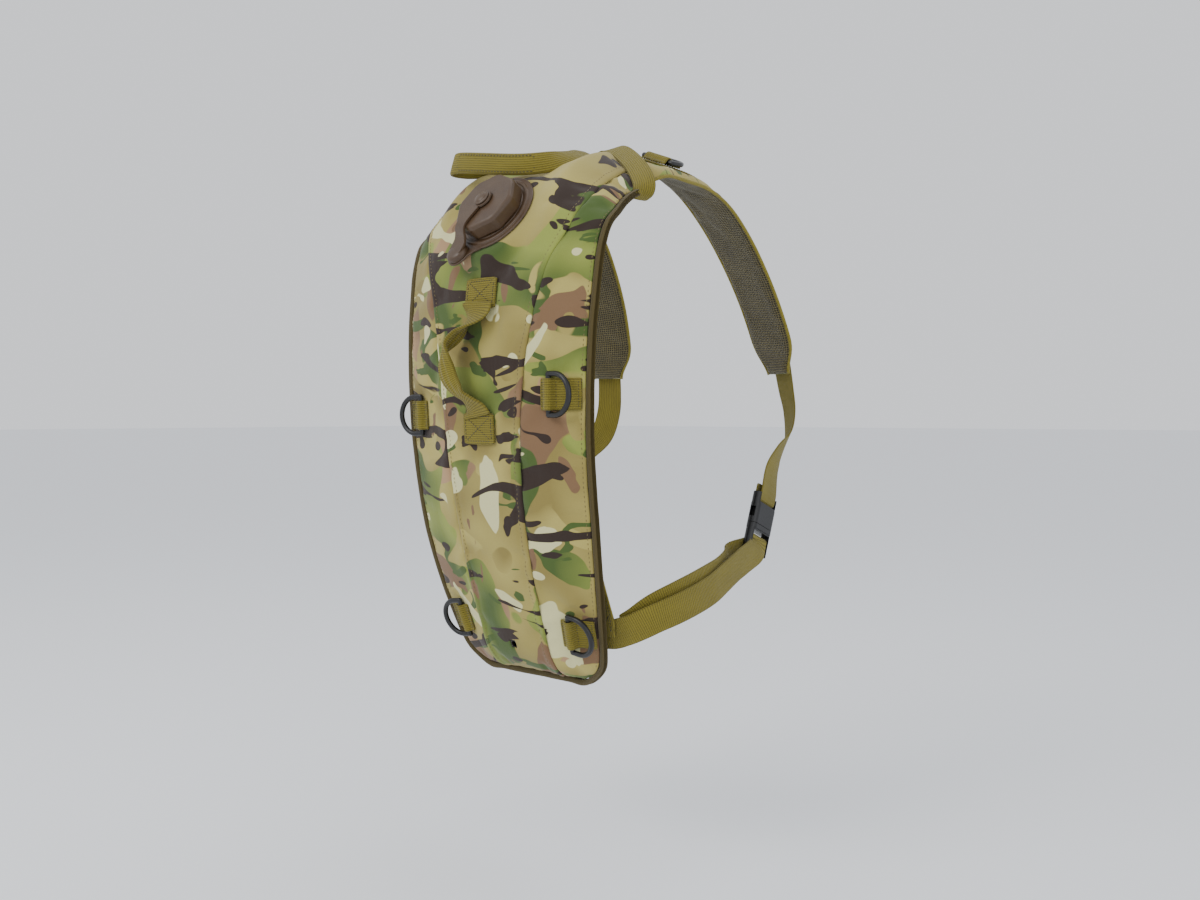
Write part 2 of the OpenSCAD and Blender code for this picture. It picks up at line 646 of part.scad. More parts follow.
left() buckle_plug();  // buckle_plug_left
right() latch(1);  // latch_front_right
right() latch(-1);  // latch_rear_right
left() latch(1);  // latch_front_left
left() latch(-1);  // latch_rear_left
right() lower_webbing();  // lower_webbing_right
left() lower_webbing();  // lower_webbing_left
right() anchor_tab();  // anchor_tab_right
left() anchor_tab();  // anchor_tab_left
right() zip_tape();
right() zip_slider();
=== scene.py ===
"""Looks of a worn hydration pack: camouflage shell, webbing, cap, rings, straps and buckles.

Shapes are worked out in the pack's own millimetres, with the origin at the mid-front of the
pack, X to the wearer's right, Y towards the wearer and Z up, and put in the row frame, whose
origin is the nape, when a mesh is made.
"""

import math
import random

import bmesh
import bpy
import numpy as np
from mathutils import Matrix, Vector


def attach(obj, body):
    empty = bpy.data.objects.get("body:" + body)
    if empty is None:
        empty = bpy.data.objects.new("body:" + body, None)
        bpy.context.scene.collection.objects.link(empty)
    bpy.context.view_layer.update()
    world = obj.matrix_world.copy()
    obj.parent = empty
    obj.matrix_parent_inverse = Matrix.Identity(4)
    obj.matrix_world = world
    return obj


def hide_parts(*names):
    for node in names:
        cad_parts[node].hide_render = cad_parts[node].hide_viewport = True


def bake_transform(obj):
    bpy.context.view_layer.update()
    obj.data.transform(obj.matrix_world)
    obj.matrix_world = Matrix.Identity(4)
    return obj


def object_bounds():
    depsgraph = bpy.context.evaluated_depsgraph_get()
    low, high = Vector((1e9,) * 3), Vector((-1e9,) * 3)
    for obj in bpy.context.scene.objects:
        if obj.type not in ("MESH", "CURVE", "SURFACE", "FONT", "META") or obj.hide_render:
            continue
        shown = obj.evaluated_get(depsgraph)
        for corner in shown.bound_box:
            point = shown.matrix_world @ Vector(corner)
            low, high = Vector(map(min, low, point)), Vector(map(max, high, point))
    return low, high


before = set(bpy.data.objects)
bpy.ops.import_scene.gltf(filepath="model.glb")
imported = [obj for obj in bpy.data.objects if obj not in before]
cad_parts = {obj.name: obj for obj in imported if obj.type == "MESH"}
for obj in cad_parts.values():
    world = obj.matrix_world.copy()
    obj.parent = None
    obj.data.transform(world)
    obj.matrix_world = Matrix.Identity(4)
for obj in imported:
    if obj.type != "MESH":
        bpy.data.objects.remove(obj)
CAD_BOX = [list(corner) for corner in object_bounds()]

MM = 0.001
NAPE = np.array([0.0, 88.0, 192.0])
RIGHT = 1
LEFT = -1
SIDES = {"right": RIGHT, "left": LEFT}
random.seed(11)


# ---- camera
LENS, SENSOR = 33.2, 36
LENS_SHIFT = -0.029
CAMERA_AT = (0.6523, -0.7155, -0.2042)
VIEW_ANGLE = 40


def make_camera():
    """The photo's view: level, from the rear and VIEW_ANGLE degrees to the wearer's right."""
    data = bpy.data.cameras.new("camera")
    data.lens = LENS
    data.sensor_width = SENSOR
    data.shift_y = LENS_SHIFT
    camera = bpy.data.objects.new("camera", data)
    camera.location = CAMERA_AT
    camera.rotation_euler = (math.radians(90), 0, math.radians(VIEW_ANGLE))
    bpy.context.scene.collection.objects.link(camera)
    bpy.context.scene.camera = camera


# ---- small vector helpers
def vec(*values):
    return np.array(values, float)


def unit(v):
    v = np.asarray(v, float)
    return v / np.maximum(np.linalg.norm(v, axis=-1, keepdims=True), 1e-9)


def mix(a, b, t):
    return np.asarray(a) + (np.asarray(b) - np.asarray(a)) * t


def smooth(t):
    t = np.clip(t, 0, 1)
    return t * t * (3 - 2 * t)


def turn(axis, degrees):
    """Rotation matrix about one of the axes "x", "y" or "z"."""
    c, s = math.cos(math.radians(degrees)), math.sin(math.radians(degrees))
    i, j = {"x": (1, 2), "y": (2, 0), "z": (0, 1)}[axis]
    m = np.eye(3)
    m[i, i] = m[j, j] = c
    m[i, j], m[j, i] = -s, s
    return m


def polar(radius, degrees):
    angle = math.radians(degrees)
    return vec(radius * math.cos(angle), radius * math.sin(angle))


def around(count):
    """Angles in radians all the way round, evenly spaced."""
    return np.linspace(0, 2 * math.pi, count, endpoint=False)


def mirrored(points, side):
    return np.asarray(points, float) * vec(side, 1, 1)


def placed(origin, matrix, side=1):
    """A local placement: turns a point by the matrix, moves it and mirrors it for the left."""
    return lambda p: mirrored(origin + matrix @ np.asarray(p, float), side)


def heading(place, *way):
    """Where a direction of a local placement points."""
    return unit(place(way) - place((0, 0, 0)))


def run_along(path):
    """Distance of each point from the first one, along the path."""
    steps = np.linalg.norm(np.diff(path, axis=0), axis=1)
    return np.concatenate([[0], np.cumsum(steps)])


def catmull(points, step):
    """A smooth curve through the points, resampled at about step."""
    p = np.asarray(points, float)
    p = np.vstack([2 * p[0] - p[1], p, 2 * p[-1] - p[-2]])
    out = []
    for i in range(1, len(p) - 2):
        count = max(2, int(round(np.linalg.norm(p[i + 1][:3] - p[i][:3]) / step)))
        t = np.linspace(0, 1, count, endpoint=False)[:, None]
        a, b, c, d = p[i - 1], p[i], p[i + 1], p[i + 2]
        out.append(0.5 * (2 * b + (c - a) * t + (2 * a - 5 * b + 4 * c - d) * t * t
                          + (3 * b - a - 3 * c + d) * t ** 3))
    out.append(p[-2][None])
    return np.vstack(out)


def wobble(x, seed, scale):
    """A soft one-dimensional noise, from a few sines."""
    rng = random.Random(seed)
    value = 0
    for k in (1.0, 1.9, 3.1, 4.7):
        value = value + np.sin(np.asarray(x) * k / scale + rng.uniform(0, 6.28)) / k
    return value / 2


# ---- meshes
def link(name, mesh):
    obj = bpy.data.objects.new(name, mesh)
    bpy.context.scene.collection.objects.link(obj)
    return obj


def make_piece(name, solid, material):
    """A smooth-shaded mesh from (verts, faces, cloth). cloth holds, for each vertex, the
    fabric's own coordinates: mm across, mm along, and how near it is to a strap's edge or to
    the middle of a channel."""
    verts, faces, cloth = solid
    mesh = bpy.data.meshes.new(name)
    mesh.from_pydata(((np.asarray(verts, float) - NAPE) * MM).tolist(), [], faces)
    mesh.update()
    if cloth is not None:
        attribute = mesh.attributes.new("cloth", "FLOAT_VECTOR", "POINT")
        attribute.data.foreach_set("vector", np.asarray(cloth, np.float32).ravel())
    mesh.materials.append(MATERIALS[material])
    mesh.polygons.foreach_set("use_smooth", [True] * len(mesh.polygons))
    return link(name, mesh)


def refine(obj, bevel=0.0, levels=0, angle=0):
    """Rounds the edges sharper than angle, then subdivides."""
    if bevel:
        mod = obj.modifiers.new("round", "BEVEL")
        mod.width = bevel * MM
        mod.segments = 3
        mod.limit_method = "ANGLE"
        mod.angle_limit = math.radians(angle)
        mod.harden_normals = True
    if levels:
        mod = obj.modifiers.new("fine", "SUBSURF")
        mod.levels = mod.render_levels = levels


def sharpen(obj, angle):
    """Flat faces stay flat: edges sharper than angle are marked sharp."""
    obj.data.set_sharp_from_angle(angle=math.radians(angle))


def joined(parts):
    """Vertices, faces and cloth coordinates of several (verts, faces, cloth) in one."""
    verts, faces, cloth, base = [], [], [], 0
    for v, f, c in parts:
        verts.append(v)
        cloth.append(c if c is not None else np.zeros((len(v), 3)))
        faces += [[i + base for i in face] for face in f]
        base += len(v)
    return np.vstack(verts), faces, np.vstack(cloth)


def grid_faces(rows, cols, base=0, flip=False, wrap=False):
    faces = []
    for i in range(rows - 1):
        for j in range(cols if wrap else cols - 1):
            k = (j + 1) % cols
            face = [base + i * cols + j, base + i * cols + k,
                    base + (i + 1) * cols + k, base + (i + 1) * cols + j]
            faces.append(face[::-1] if flip else face)
    return faces


def tube_faces(rings, sides, base=0):
    """Faces of a tube of rings, with both ends closed."""
    last = base + (rings - 1) * sides
    ends = [list(range(base, base + sides))[::-1], list(range(last, last + sides))]
    return grid_faces(rings, sides, base, wrap=True) + ends


def grid_normals(points):
    return unit(np.cross(np.gradient(points, axis=1), np.gradient(points, axis=0)))


def closed_sheet(outer, inner, coords, flip=False):
    """A closed solid between two grids of the same shape."""
    rows, cols = outer.shape[:2]
    n = rows * cols
    faces = grid_faces(rows, cols, 0, flip) + grid_faces(rows, cols, n, not flip)
    at = np.arange(n).reshape(rows, cols)
    rim = [*at[:, 0], *at[-1, 1:], *at[-2::-1, -1], *at[0, -2:0:-1]]
    for a, b in zip(rim, rim[1:] + rim[:1]):
        face = [int(a), int(b), int(n + b), int(n + a)]
        faces.append(face[::-1] if flip else face)
    verts = np.vstack([outer.reshape(-1, 3), inner.reshape(-1, 3)])
    return verts, faces, np.tile(coords.reshape(-1, 3), (2, 1))


def rounded_profile(width, thickness, points):
    """A flat strap's cross-section: (across, up) around a rounded rectangle."""
    r = thickness / 2
    flat = np.linspace(width / 2 - r, -width / 2 + r, 5 + 2 * points)
    out = [(x, r) for x in flat]
    out += [polar(r, a) - vec(width / 2 - r, 0) for a in (135, 180, 225)]
    out += [(x, -r) for x in flat[::-1]]
    out += [polar(r, a) + vec(width / 2 - r, 0) for a in (315, 0, 45)]
    return np.array(out)


def strap_frame(path, across):
    """Directions across a strap and out of its face, for each point of its path."""
    t = unit(np.gradient(path, axis=0))
    u = unit(across - t * np.sum(across * t, axis=1)[:, None])
    return u, np.cross(u, t)


def sweep(path, across, profiles):
    """(verts, faces, cloth) of a profile swept along a path. across is the direction of its
    width and profiles its outline: one for all, or one for each point."""
    path = np.asarray(path, float)
    u, v = strap_frame(path, np.asarray(across, float))
    rings = np.asarray(profiles, float)
    if rings.ndim == 2:
        rings = np.tile(rings, (len(path), 1, 1))
    x, y = rings[..., :1], rings[..., 1:]
    verts = path[:, None] + x * u[:, None] + y * v[:, None]
    along = np.broadcast_to(run_along(path)[:, None, None], x.shape)
    cloth = np.concatenate([x, along, x / np.abs(x).max(axis=1, keepdims=True)], axis=2)
    return verts.reshape(-1, 3), tube_faces(*x.shape[:2]), cloth.reshape(-1, 3)


def resample(keys, step):
    """Path, across and extra columns from given rows (x, y, z, ax, ay, az, ...)."""
    rows = catmull(keys, step)
    return rows[:, :3], rows[:, 3:6], rows[:, 6:]


def lathe(profile, place, segments=48):
    """Turns (radius, height) points about the local Z, and closes both ends."""
    verts = [place((*r * vec(math.cos(a), math.sin(a)), h))
             for r, h in profile for a in around(segments)]
    return np.array(verts), tube_faces(len(profile), segments), None


def closed_lathe(profile, place, segments):
    """As lathe, for a closed profile around a hole."""
    m = len(profile)
    verts = [place((*r * vec(math.cos(a), math.sin(a)), h))
             for a in around(segments) for r, h in profile]
    faces = [[i * m + j, ((i + 1) % segments) * m + j,
              ((i + 1) % segments) * m + (j + 1) % m, i * m + (j + 1) % m]
             for i in range(segments) for j in range(m)]
    return np.array(verts), faces, None


# ---- stitches
THREAD_R = 0.33
THREAD_SIDES = 6
# Rings of one stitch: how far along it, how thick and how high they are.
STITCH_RINGS = ((0.0, 0.25, -0.9), (0.18, 0.85, -0.1), (0.5, 1.0, 0.25), (0.82, 0.85, -0.1),
                (1.0, 0.25, -0.9))
STITCH_SINK = 0.12


def stitches(line, normals, pitch=3.4, length=2.5):
    """(verts, faces, cloth) of a row of thread stitches lying on a line. normals has one
    direction for all, or one for each point."""
    line = np.asarray(line, float)
    normals = np.broadcast_to(unit(normals), line.shape)
    along = run_along(line)
    verts, faces = [], []
    for s in np.arange(pitch / 2, along[-1] - length, pitch):
        at = [np.array([np.interp(s + length * r[0], along, line[:, k]) for k in range(3)])
              for r in STITCH_RINGS]
        n = unit([np.interp(s, along, normals[:, k]) for k in range(3)])
        b = np.cross(unit(at[-1] - at[0]), n)
        faces += tube_faces(len(at), THREAD_SIDES, len(verts))
        for c, (_, size, lift) in zip(at, STITCH_RINGS):
            c = c + n * THREAD_R * (lift - STITCH_SINK)
            verts += [c + THREAD_R * size * (b * math.cos(a) + n * 0.8 * math.sin(a))
                      for a in around(THREAD_SIDES)]
    return np.array(verts).reshape(-1, 3), faces, None


def box_stitch(surface, width, height, **kw):
    """Stitches along a rectangle and its diagonals; surface(a, b) gives the point and the
    normal at a across and b along, both from the middle."""
    w, h = width / 2, height / 2
    corners = [(-w, -h), (w, -h), (w, h), (-w, h), (-w, -h)]
    runs = list(zip(corners, corners[1:])) + [((-w, -h), (w, h)), ((-w, h), (w, -h))]
    parts = []
    for a, b in runs:
        samples = [surface(*mix(a, b, t)) for t in np.linspace(0, 1, 24)]
        parts.append(stitches([p for p, _ in samples], [n for _, n in samples], **kw))
    return parts


# ---- materials
def linear(rgb):
    """Linear colour of an sRGB colour given as 0 to 255."""
    out = []
    for c in rgb:
        c /= 255
        out.append(c / 12.92 if c <= 0.04045 else ((c + 0.055) / 1.055) ** 2.4)
    return (*out, 1)


class Graph:
    """A short way to write a material's nodes."""

    def __init__(self, name, rough=0.6, **shader):
        self.mat = bpy.data.materials.new(name)
        self.mat.use_nodes = True
        self.tree = self.mat.node_tree
        self.shader = self.tree.nodes["Principled BSDF"]
        self.shader.inputs["Roughness"].default_value = rough
        for socket, value in shader.items():
            self.shader.inputs[socket.replace("_", " ")].default_value = value

    def put(self, socket, value):
        if isinstance(value, bpy.types.NodeSocket):
            self.tree.links.new(value, socket)
        else:
            socket.default_value = value

    def node(self, kind, out=0, props=None, **inputs):
        n = self.tree.nodes.new("ShaderNode" + kind)
        for key, value in (props or {}).items():
            setattr(n, key, value)
        for key, value in inputs.items():
            self.put(n.inputs[int(key[1:]) if key[1:].isdigit() else key], value)
        return n.outputs[out]

    def math(self, operation, a, b=0.0):
        return self.node("Math", props={"operation": operation}, i0=a, i1=b)

    def times(self, a, b):
        return self.math("MULTIPLY", a, b)

    def plus(self, a, b):
        return self.math("ADD", a, b)

    def waves(self, value, factor):
        return self.math("SINE", self.times(value, factor))

    def axis(self, vector, index):
        return self.node("SeparateXYZ", out=index, Vector=vector)

    def cloth(self):
        """The fabric's own coordinates, in mm, as a vector."""
        return self.node("Attribute", out=1, props={"attribute_name": "cloth"})

    def place(self):
        """Object coordinates in mm."""
        return self.scaled(self.node("TexCoord", out=3), (1000, 1000, 1000))

    def scaled(self, vector, by, shift=(0, 0, 0)):
        return self.node("VectorMath", props={"operation": "MULTIPLY_ADD"}, i0=vector, i1=by,
                         i2=shift)

    def noise(self, vector, scale, detail=2.0, rough=0.5, distortion=0.0):
        return self.node("TexNoise", Vector=vector, Scale=scale, Detail=detail, Roughness=rough,
                         Distortion=distortion)

    def ramp(self, value, low, high, a=0.0, b=1.0):
        return self.node("MapRange", i0=value, i1=low, i2=high, i3=a, i4=b)

    def blend(self, factor, a, b, mode="MIX"):
        n = self.tree.nodes.new("ShaderNodeMix")
        n.data_type = "RGBA"
        n.blend_type = mode
        self.put(n.inputs[0], factor)
        self.put(n.inputs[6], a)
        self.put(n.inputs[7], b)
        return n.outputs[2]

    def tint(self, color, value):
        gray = self.node("CombineColor", i0=value, i1=value, i2=value)
        return self.blend(1.0, color, gray, "MULTIPLY")

    def finish(self, color, height=None, strength=0.5, distance=0.2, rough=None):
        self.put(self.shader.inputs["Base Color"], color)
        if rough is not None:
            self.put(self.shader.inputs["Roughness"], rough)
        if height is not None:
            bump = self.node("Bump", Strength=strength, Distance=distance * MM, Height=height)
            self.put(self.shader.inputs["Normal"], bump)
        return self.mat


TAN = (134, 120, 62)
SAND = (172, 159, 88)
MOSS = (138, 148, 66)
GREEN = (68, 88, 35)
CREAM = (206, 202, 150)
CLAY = (120, 92, 64)
ROSE = (170, 138, 100)
BARK = (46, 33, 25)

# Each camouflage layer: its two colours, the size of its blots in mm, how wide they are for
# their height, seed, the noise level above which it shows, how wavy its outline is, and detail.
CAMO = (
    (CLAY, ROSE, 118, 0.9, 3, 0.560, 0.7, 2.2),
    (GREEN, MOSS, 112, 1.1, 7, 0.525, 0.9, 2.6),
    (SAND, TAN, 70, 1.2, 12, 0.600, 0.9, 2.0),
    (CLAY, CLAY, 58, 0.8, 17, 0.640, 0.8, 2.0),
    (GREEN, GREEN, 46, 1.5, 29, 0.650, 1.2, 2.6),
    (CREAM, CREAM, 58, 1.0, 23, 0.635, 0.8, 2.4),
    (BARK, BARK, 52, 1.6, 31, 0.600, 1.0, 2.6),
    (BARK, BARK, 21, 1.2, 41, 0.715, 0.2, 0.3),
    (CREAM, CREAM, 22, 1.1, 53, 0.74, 0.2, 0.4),
)


def camo_material():
    """A printed camouflage of soft-shaded, hard-edged blots over a shaded ground."""
    g = Graph("camo_fabric", rough=0.82, Sheen_Weight=0.15, Specular_IOR_Level=0.3)
    cloth = g.cloth()
    flat = g.scaled(cloth, (1, 1, 0))
    shade = g.ramp(g.noise(flat, 1 / 75, 1.0), 0.36, 0.64)
    color = g.blend(shade, linear(TAN), linear(SAND))
    for a, b, size, wide, seed, level, wavy, detail in CAMO:
        at = g.scaled(flat, (1 / wide / size, wide / size, 0), (seed * 3.7, seed * 1.9, seed))
        blot = g.noise(at, 1.0, detail, 0.42, wavy)
        inside = g.ramp(blot, level - 0.003, level + 0.003)
        tone = g.ramp(g.noise(flat, 1.6 / size, 0.5), 0.42, 0.6)
        color = g.blend(inside, color, g.blend(tone, linear(a), linear(b)))
    speck = g.ramp(g.noise(flat, 1.4, 3.0, 0.7), 0.3, 0.7, 0.92, 1.06)
    weave = g.times(g.waves(g.axis(cloth, 0), 6.6), g.waves(g.axis(cloth, 1), 6.6))
    creases = g.noise(g.scaled(flat, (0.055, 0.03, 0)), 1.0, 3.0, 0.55, 0.6)
    height = g.plus(g.times(weave, 0.08), g.times(creases, 2.2))
    return g.finish(g.tint(color, speck), height, 0.55, 0.5)


def webbing_material(name, color, shade, ribs=1.9, weft=1.1, rib_depth=1.0, weft_depth=0.35):
    """Woven webbing: ribs along it, ribs mm apart, and lines across it, weft mm apart."""
    g = Graph(name, rough=0.78, Sheen_Weight=0.12, Specular_IOR_Level=0.22)
    cloth = g.cloth()
    edge = g.math("ABSOLUTE", g.axis(cloth, 2))
    drift = g.times(g.noise(cloth, 0.12, 2.0), 1.6)
    rib = g.math("ABSOLUTE", g.waves(g.axis(cloth, 0), math.pi / ribs))
    row = g.plus(g.times(g.axis(cloth, 1), math.pi / weft), drift)
    line = g.math("ABSOLUTE", g.math("SINE", row))
    height = g.plus(g.times(g.math("POWER", rib, 0.6), rib_depth),
                    g.times(g.math("POWER", line, 0.7), weft_depth))
    fuzz = g.noise(g.scaled(cloth, (1.4, 3.0, 0)), 1.0, 3.0, 0.7)
    patch = g.noise(g.scaled(cloth, (0.05, 0.02, 0)), 1.0, 2.0)
    # Painted shade: the grooves between the ribs and weft lines get the darker shade colour, the
    # rib tops the main colour.
    groove_shade = g.ramp(g.plus(height, g.times(fuzz, 0.5)),
                  0.35 * (rib_depth + weft_depth), 1.05 * (rib_depth + weft_depth))
    base = g.blend(groove_shade, linear(shade), linear(color))
    worn = g.blend(g.ramp(patch, 0.35, 0.7, 0.0, 0.35), base,
                   linear([min(255, c * 1.13) for c in color]))
    border = g.ramp(edge, 0.9, 0.97, 0.0, 0.3)
    return g.finish(g.blend(border, worn, linear(shade)),
                    g.plus(height, g.times(fuzz, 0.25)), 0.85, 0.55)


def tape_material(name, color, shade):
    """Plain woven tape with fine grosgrain lines across it."""
    return webbing_material(name, color, shade, ribs=5.0, weft=0.7, rib_depth=0.15,
                            weft_depth=0.6)


def mesh_material():
    """Spacer mesh: a net of small round holes in a dark olive knit."""
    g = Graph("back_mesh", rough=0.9, Sheen_Weight=0.2)
    cloth = g.cloth()
    flat = g.scaled(cloth, (1, 1, 0))
    cells = g.node("TexVoronoi", Vector=flat, Scale=0.42, Randomness=0.12)
    hole = g.ramp(cells, 0.25, 0.5)
    tone = g.ramp(g.noise(flat, 0.04, 3.0), 0.3, 0.7, 0.8, 1.1)
    # Painted shade: the holes are near black, standing for the shade inside them.
    knit = g.blend(hole, linear((38, 34, 20)), linear((104, 94, 56)))
    # Painted shade: darker along the stitched channels, where the pad dips.
    channel_shade = g.ramp(g.axis(cloth, 2), 0.35, 0.95, 0.0, 0.75)
    return g.finish(g.blend(channel_shade, g.tint(knit, tone), linear((34, 31, 19))), hole, 0.8, 0.7)


def thread_material(name, color):
    g = Graph(name, rough=0.6, Sheen_Weight=0.2)
    twist = g.node("TexWave", out=1, props={"bands_direction": "DIAGONAL"}, Vector=g.place(),
                   Scale=1.8, Distortion=1.0)
    # Painted shade: the grooves of the twist are darker than its ridges.
    return g.finish(g.blend(twist, linear([c * 0.72 for c in color]), linear(color)), twist,
                    0.4, 0.1)


def plastic_material(name, color, light, rough):
    """Moulded plastic: fine grain, slightly uneven gloss, and paler scuffs."""
    g = Graph(name, rough, Specular_IOR_Level=0.5)
    at = g.place()
    fine = g.noise(at, 0.9, 4.0, 0.6)
    cloud = g.noise(at, 0.06, 3.0, 0.6)
    scuff = g.ramp(g.noise(at, 0.35, 6.0, 0.75, 1.2), 0.60, 0.74, 0.0, 0.45)
    tone = g.blend(g.ramp(cloud, 0.3, 0.7, 0.0, 0.5), linear(color), linear(light))
    return g.finish(g.blend(scuff, tone, linear(light)), fine, 0.12, 0.25,
                    g.ramp(fine, 0.25, 0.75, rough - 0.08, rough + 0.12))


def metal_material(name, color, rough):
    g = Graph(name, rough=rough, Metallic=0.9)
    at = g.place()
    worn = g.ramp(g.noise(at, 0.8, 5.0, 0.7), 0.5, 0.7)
    return g.finish(g.blend(worn, linear(color), linear([min(255, c * 1.9 + 20) for c in color])),
                    g.noise(at, 2.5, 3.0), 0.15, 0.1,
                    g.ramp(g.noise(at, 0.5, 4.0), 0.3, 0.7, rough - 0.1, rough + 0.15))


def crinkled_material(name, color, light, cloud, crease, strength, distance, **shader):
    """Thin sheet with soft shades and creases."""
    g = Graph(name, **shader)
    at = g.place()
    tone = g.blend(g.noise(at, *cloud), linear(color), linear(light))
    return g.finish(tone, g.noise(at, *crease), strength, distance)


OLIVE = (122, 111, 38)
# OLIVE_DARK is the webbing's painted groove shade, also used along its edges.
OLIVE_DARK = (74, 66, 16)
MATERIALS = {
    "camo": camo_material(),
    "web": webbing_material("olive_webbing", OLIVE, OLIVE_DARK),
    "web_cross": webbing_material("olive_webbing_weft", OLIVE, OLIVE_DARK, 2.4, 1.8, 0.25, 1.0),
    "tape": tape_material("olive_tape", (136, 124, 44), (88, 80, 26)),
    "binding": tape_material("binding_tape", (84, 72, 34), (54, 46, 20)),
    "mesh": mesh_material(),
    "thread": thread_material("thread_khaki", (122, 106, 52)),
    "dark_thread": thread_material("thread_dark", (54, 48, 25)),
    "brown": plastic_material("brown_plastic", (66, 47, 29), (88, 67, 43), 0.40),
    "black": plastic_material("black_plastic", (9, 9, 10), (28, 28, 31), 0.36),
    "rubber": plastic_material("gasket_rubber", (196, 190, 172), (210, 206, 190), 0.6),
    "metal": metal_material("dark_metal", (44, 42, 40), 0.34),
    "film": crinkled_material("reservoir_film", (150, 185, 210), (190, 215, 230),
                              (0.03, 3.0), (0.08, 4.0), 0.5, 1.0, rough=0.25),
    "foil": crinkled_material("liner_foil", (170, 172, 176), (205, 207, 210),
                              (0.05, 4.0), (0.15, 5.0), 0.6, 0.6, rough=0.35, Metallic=0.8),
}


# ---- the body's shape
NEAR_Y, NEAR_Z = 13, 20
BEND = 602
FOOT_Z, FOOT_H = -206, 24
TOP_Z = 95


def edge_y(z):
    """The edge bows towards the wearer above and below NEAR_Z."""
    return NEAR_Y + (z - NEAR_Z) ** 2 / (2 * BEND)


def lean(z):
    """How far the body leans from upright at a height, in degrees."""
    return math.degrees(math.atan((z - NEAR_Z) / BEND))


def seam_x(z):
    """Distance of the panels' seam from the middle."""
    return 36 + 9.3 * math.exp(z / 85)


def round_end(z, start, length):
    """1 down to start, then falling to 0 along a quarter of an ellipse."""
    return 1 if z > start else math.sqrt(max(0, 1 - ((start - z) / length) ** 2))


def edge_x(z):
    """Distance of the edge from the middle, with the lower corners rounded."""
    return (100 + 0.04 * z - 0.00082 * max(0, -80 - z) ** 2
            - 20 * (1 - round_end(z, -208, 22.2)))


def body_station(z):
    """Seven rows that describe the pack at a height: centre, shoulder, seam and edge of the
    outer face, middle and edge of the wearer's side, and the direction into the pack."""
    y, groove_shade = edge_y(z), round_end(z, FOOT_Z, FOOT_H)
    a = min(seam_x(z), edge_x(z) - 22)
    return np.array([
        [0, y - 15.6 * groove_shade, z], [a * 0.6, y - 14.96 * groove_shade, z], [a, y - 14 * groove_shade, z],
        [edge_x(z), y, z], [0, y + 10, z], [edge_x(z), y + 10, z], [0, 1, 0]])


def yoke_station(centre, shoulder, seam, edge, angle, back, back_edge):
    """As body_station, where the yoke curls over the shoulders; angle is how far it leans."""
    inward = [0, math.cos(math.radians(angle)), -math.sin(math.radians(angle))]
    return np.array([centre, shoulder, seam, edge, [0, *back], [edge[0], *back_edge], inward])


YOKE = [yoke_station(*row) for row in (
    ([0, 8, 130], [58, 9, 131], [79, 13, 129], [105, 24, 127], 8, [38, 130], [34, 123.5]),
    ([0, 15, 146], [60, 14, 149], [85, 20, 145], [106, 30, 140], 20, [45, 146], [39, 133.5]),
    ([0, 25, 163], [60, 21, 166], [88, 31, 157], [106, 40, 149], 32, [54, 161], [47.5, 141]),
    ([0, 37, 178], [60, 34, 182], [88, 44, 168], [105, 49, 157], 42, [64, 173], [56, 148.5]),
    ([0, 52, 190], [60, 53, 196], [88, 57, 176], [105, 57, 163], 52, [74, 182], [63, 153.5]),
    ([0, 68, 198], [60, 77, 206], [88, 70, 183], [105, 65, 167], 62, [82, 188], [70, 157]),
    ([0, 82, 202], [58, 98, 210], [88, 83, 189], [105, 74, 171], 70, [88, 192], [78.5, 161]))]


def stations(step):
    """Stations from the bottom to the neckline, about step apart, with their arc length."""
    foot = [FOOT_Z - FOOT_H * math.sin(t)
            for t in np.linspace(math.pi / 2, 0, 9, endpoint=False)]
    body = foot + list(np.linspace(FOOT_Z, TOP_Z, int((TOP_Z - FOOT_Z) / step)))
    keys = [body_station(z) for z in (TOP_Z - 15, TOP_Z, TOP_Z + 15)] + YOKE
    # Spaced along the seam, whose point is the third of a station.
    curve = catmull([np.concatenate([k[2], k.ravel()]) for k in keys], step)[:, 3:]
    first = int(np.argmin(np.abs(curve[:, 8] - TOP_Z))) + 1
    rows = np.array([body_station(z) for z in body] + [r.reshape(7, 3) for r in curve[first:]])
    rows[:, 6] = unit(rows[:, 6])
    return rows, run_along(rows[:, 2])


def outer_row(station, x):
    """Points of the outer face at distances x from the middle."""
    centre, shoulder, seam, edge = station[:4]
    out = []
    for value in np.atleast_1d(x):
        r = abs(value)
        if r <= shoulder[0]:
            p = mix(centre, shoulder, (r / shoulder[0]) ** 2)
        elif r <= seam[0]:
            p = mix(shoulder, seam, (r - shoulder[0]) / (seam[0] - shoulder[0]))
        else:
            p = mix(seam, edge, (r - seam[0]) / (edge[0] - seam[0]))
        out.append([value, p[1], p[2]])
    return np.array(out)


def on_face(x, z):
    return outer_row(body_station(z), x)[0]


def surface_at(x, z):
    """Point and outward normal of the outer face of the body at a height below the yoke."""
    dx = on_face(x + 0.5, z) - on_face(x - 0.5, z)
    dz = on_face(x, z + 0.5) - on_face(x, z - 0.5)
    return on_face(x, z), unit(np.cross(dx, dz))


# ---- fill port axes
PORT = vec(0, 16.5, 153.7)
PORT_TURN = turn("x", 57)
PORT_AXIS = PORT_TURN @ vec(0, 0, 1)
TAB_ANGLE = 245.7
at_port = placed(PORT, PORT_TURN)
at_tab = placed(PORT, PORT_TURN @ turn("z", TAB_ANGLE))


# ---- cloth simulation
SIM_FRAMES = 20


def pinned_rim(shape):
    """Marks the rows and columns around a grid, which the simulation holds."""
    pinned = np.ones(shape[:2], bool)
    pinned[1:-1, 1:-1] = False
    return pinned


